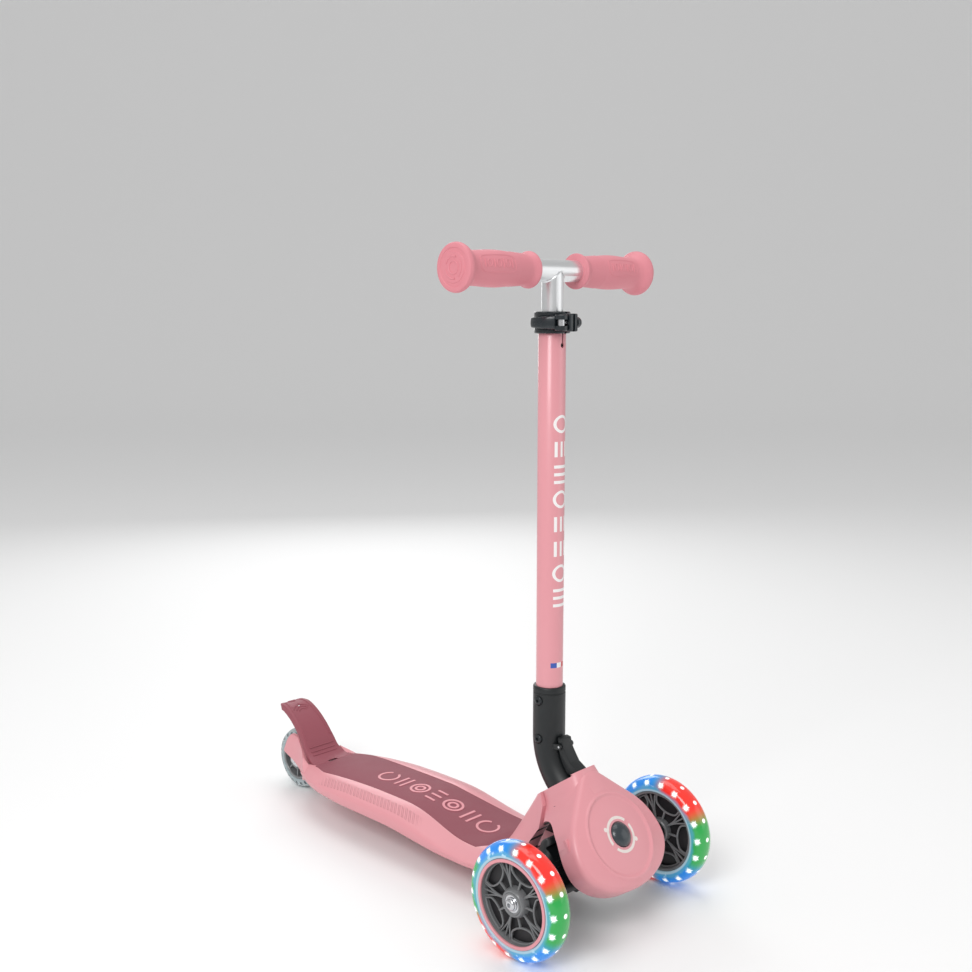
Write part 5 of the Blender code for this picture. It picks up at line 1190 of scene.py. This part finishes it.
for k, height in enumerate(np.linspace(0.335, 0.517, 8).tolist()):
    v = tube_look.z - height
    if k in (1, 4, 7):
        ring = u.length(v)
        mark = ring.rise(0.0064, 0.0066) * ring.rise(0.0094, 0.0092)
    elif k in (0, 5):
        mark = u.size().rise(0.0085, 0.0083) * bars(v, 0.0080, 0.0016, 0.0110)
    else:
        mark = bars(u, 0.0066, 0.0015, 0.0086) * v.size().rise(0.0080, 0.0078)
    tube_look.paint(mark * in_front, (0.88, 0.86, 0.85))
low = (tube_look.z - 0.2625).size().rise(0.0028, 0.0026) * in_front
for k, colour in enumerate(((0.03, 0.09, 0.42), (0.85, 0.85, 0.85), (0.60, 0.04, 0.05))):
    band = (u + (0.0070 - 0.0060 * k)).size().rise(0.0031, 0.0029)
    tube_look.paint(band * low, colour)
place("steering_tube", tube, "stem", tube_look, "pink_paint", "outer_tube", sharp=40)
sleeve = [(0.0143, 0.6293), (0.0143, 0.6303), (0.0139, 0.6308), (0.0114, 0.6308), (0.0114, 0.5890)]
sleeve = lathe([*sleeve, (0.0125, 0.5890), (0.0125, 0.6293)], tube_axis, Z, 96, closed=True)
sleeve = carved(sleeve, ("DIFFERENCE", [clamp_slit()]))
place("tube_sleeve_skin", sleeve, "stem", black_nylon, "black_nylon", "tube_sleeve")


# Seat clamp: a slate collar with two ears and a groove round its middle, closed by a bolt with a
# domed nut on one side and a curled cam lever on the other.
CLAMP = Vector((-0.0135, TUBE_Y - 0.0238, 0.620))
profile = [(0.0146, -0.0110), (0.0177, -0.0110), (0.0185, -0.0102), (0.0185, -0.0040), (0.0181, -0.0034)]
profile += [(r, -z) for r, z in reversed(profile)]
collar = lathe(profile, tube_axis + CLAMP.z * Z, Z, 96, closed=True)
ears = box((-0.0062, CLAMP.y - 0.0055, 0.611), (0.0062, TUBE_Y - 0.0156, 0.629), rounding=0.0014)
gap = box((-0.0015, 0.0, 0.5), (0.0015, TUBE_Y, 0.7))
collar = carved(collar, ("UNION", [ears]), ("DIFFERENCE", [gap, bar(0.0023, CLAMP, CLAMP + 0.05 * X, 24)]))
place("clamp_collar_skin", collar, "stem", slate_plastic, "slate_plastic", "clamp_collar", sharp=40)
nut = [(0.0023, 0), (0.0060, 0), (0.0060, 0.0030), (0.0057, 0.0046), (0.0050, 0.0060), (0.0038, 0.0069)]
nut = lathe([*nut, (0.0023, 0.0070)], (0.0065, CLAMP.y, CLAMP.z), X, 48, closed=True)
place("clamp_nut_skin", nut, "stem", slate_plastic, "slate_plastic", "clamp_nut")

cam = bar(0.0064, (CLAMP.x, CLAMP.y, 0.612), (CLAMP.x, CLAMP.y, 0.628), 48, 0.0008)
near = 0.0195
rings = []
for share in np.linspace(0, 1, 40).tolist():
    angle = math.radians(238 - 88 * share)
    tip = smooth_step(share, 0.90, 1.0)
    far = near + 0.0080 - 0.0035 * share - 0.0020 * tip
    half = 0.0070 - 0.0020 * share - 0.0012 * tip
    lower = [(near, -half), (far - 0.001, -half), (far, -half + 0.001)]
    section = [*lower, (far + 0.0004, 0.0), *[(r, -z) for r, z in reversed(lower)]]
    section = softened([(r, CLAMP.z + z, 0) for r, z in section], 1)
    rings.append([(p[0] * math.cos(angle), TUBE_Y + p[0] * math.sin(angle), p[1]) for p in section])
arm = skin(rings)
slot = box((-0.04, CLAMP.y - 0.02, 0.6167), (0.0, CLAMP.y + 0.0042, 0.6233))
bore = bar(0.0021, CLAMP - 0.02 * Z, CLAMP + 0.02 * Z, 24)
clear = box((-0.0068, 0, 0.5), (0.05, TUBE_Y - 0.01, 0.7))
arm = carved(cam, ("UNION", [arm]), ("DIFFERENCE", [slot, bore, clear]))
place("clamp_lever_skin", arm, "clamp_lever", slate_plastic, "slate_plastic", "clamp_lever", sharp=38)


# T-bar: satin anodised tube and cross bar, with a welded fillet where they meet.
BAR_MIDDLE = Vector((0, TUBE_Y, 0.672))
bar_tube = bar(0.0111, tube_axis + 0.395 * Z, tube_axis + 0.670 * Z, 96)
cross = bar(0.0111, BAR_MIDDLE - 0.1335 * X, BAR_MIDDLE + 0.1335 * X, 96)
inner_bore = bar(0.0096, tube_axis + 0.385 * Z, tube_axis + 0.652 * Z, 64)
button_hole = bar(0.0033, tube_axis + Vector((0, 0.006, 0.42)), tube_axis + Vector((0, 0.026, 0.42)), 32)
bar_tube = carved(bar_tube, ("UNION", [cross]), ("DIFFERENCE", [inner_bore, button_hole]))
fillet = []
for t in turns(96):
    x, y = 0.0114 * math.cos(t), 0.0114 * math.sin(t)
    fillet.append(BAR_MIDDLE + Vector((x, y, -max(abs(x), 0.0012))))
weld = sweep(fillet, 0.0010, 8, closed=True)
bar_look = Look("satin_aluminium", (0.80, 0.81, 0.82), 0.32, metallic=1.0)
bar_look.rough(bar_look.noise(8, 3) * 0.10 + 0.27)
bar_look.relief(bar_look.noise(260, 2), 0.00001)
place("t_bar_skin", merged(bar_tube, weld), "t_bar", bar_look, "satin_aluminium", "t_bar", sharp=36)


# Grips: soft pink sleeves with a flange at each end, five grooves near the thumb, a raised panel
# of bars and rings on the palm and a ring with three arcs on the end disc.
grip_profile = [(0.0114, 0.0), (0.0172, 0.0), (0.0182, 0.0006), (0.0184, 0.0014), (0.0182, 0.0028)]
grip_profile += [(0.0172, 0.0048), (0.0162, 0.0068), (0.0158, 0.0090)]
for x in np.linspace(0.012, 0.030, 10).tolist():
    groove = 0.0006 if int(x * 1000) % 4 < 2 else 0
    grip_profile.append((0.0160 + 0.0014 * smooth_step(x, 0.010, 0.040) - groove, x))
length = 0.105
belly = [(0.0168, 0.033), (0.0179, 0.0480), (0.0178, 0.0620), (0.0170, 0.0760), (0.0167, 0.0880)]
belly = curve_through(belly, 24)
grip_profile += [*belly, (0.0176, 0.0915), (0.0195, 0.0942), (0.0215, 0.0962), (0.0229, 0.0982)]
grip_profile += [(0.0236, 0.1002), (0.0237, 0.1015), (0.0234, 0.1030), (0.0227, 0.1043), (0.0215, 0.1049)]
grip_profile += [(0.0200, length), (0.0187, length), (0.0180, length - 0.0007), (0.0150, length - 0.0007)]
grip_profile += [(0.0143, length), (0, length), (0, 0.0988), (0.0114, 0.0988)]
grip_look = Look("grip_rubber", (0.68, 0.235, 0.275), 0.52)
grip_look.rough(grip_look.noise(80, 4) * 0.12 + 0.50)
grip_look.relief(grip_look.noise(1500, 1), 0.00005)
for side, sign in WHEELS:
    out = sign * X
    centre = BAR_MIDDLE + sign * 0.035 * X
    grip = lathe(grip_profile, centre, out, 96)

    def on_grip(along, angle):
        radius = float(np.interp(along, [x for _, x in belly], [r for r, _ in belly]))
        return centre + sign * along * X + radius * Vector((0, -math.cos(angle), math.sin(angle)))

    border = [on_grip(0.060 + 0.0235 * u, 0.28 + 0.50 * v) for u, v in rounded_square(48, 5)]
    beads = [sweep(border, 0.0007, 8, closed=True, flat=0.7, up=(0, -1, 0.3))]
    for k, along in enumerate(np.linspace(0.042, 0.078, 7).tolist()):
        if k % 2:
            ring = [on_grip(along + 0.0028 * math.cos(t), 0.28 + 0.20 * math.sin(t)) for t in turns(24)]
            beads.append(sweep(ring, 0.0007, 8, closed=True, flat=0.8, up=(0, -1, 0.3)))
        else:
            line = [on_grip(along, 0.04 + 0.06 * i) for i in range(9)]
            beads.append(sweep(line, 0.0008, 8, flat=0.8, up=X))
    face = centre + sign * (length - 0.0004) * X
    for radius, start, end in ((0.0105, 20, 110), (0.0105, 140, 230), (0.0105, 260, 350), (0.0060, 0, 360)):
        steps = [math.radians(start + (end - start) * i / 30) for i in range(31)]
        path = [face + radius * Vector((0, math.cos(a), math.sin(a))) for a in steps]
        whole_ring = end - start == 360
        beads.append(sweep(path[:-1] if whole_ring else path, 0.0012, 8, closed=whole_ring, up=X))
    grip = merged(grip, *beads)
    place("grip_skin_" + side, grip, "t_bar", grip_look, "grip_rubber", "grip_" + side, sharp=34)


# Fasteners, bearings, springs, bushes and the hidden frame keep their own solids, with a worn
# zinc, nylon or plastic finish.
KEPT = {"front_frame": black_nylon, "kingpin_bush_front": bush_nylon, "kingpin_bush_rear": bush_nylon}
single = ["fold_pin", "kingpin", "kingpin_nut", "centring_spring", "lock_button_spring", "rear_axle"]
single += ["brake_pin", "brake_spring", "brake_pad", "clamp_bolt", "fold_lever_pin", "height_button"]
single.append("height_button_spring")
for side, _ in WHEELS:
    KEPT["light_ring_" + side] = light_ring
    for kind in ("frame_screw", "rear_spacer", "axle_spacer"):
        single.append(kind + "_" + side)
    for where in ("outer", "inner", "rear"):
        single.append(where + "_bearing_" + side)
for name in single:
    KEPT[name] = zinc_steel
for name, look in KEPT.items():
    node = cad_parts[name]
    node.data.materials.clear()
    node.data.materials.append(look.material)
    node.data.shade_smooth()
    node.data.set_sharp_from_angle(angle=math.radians(35))
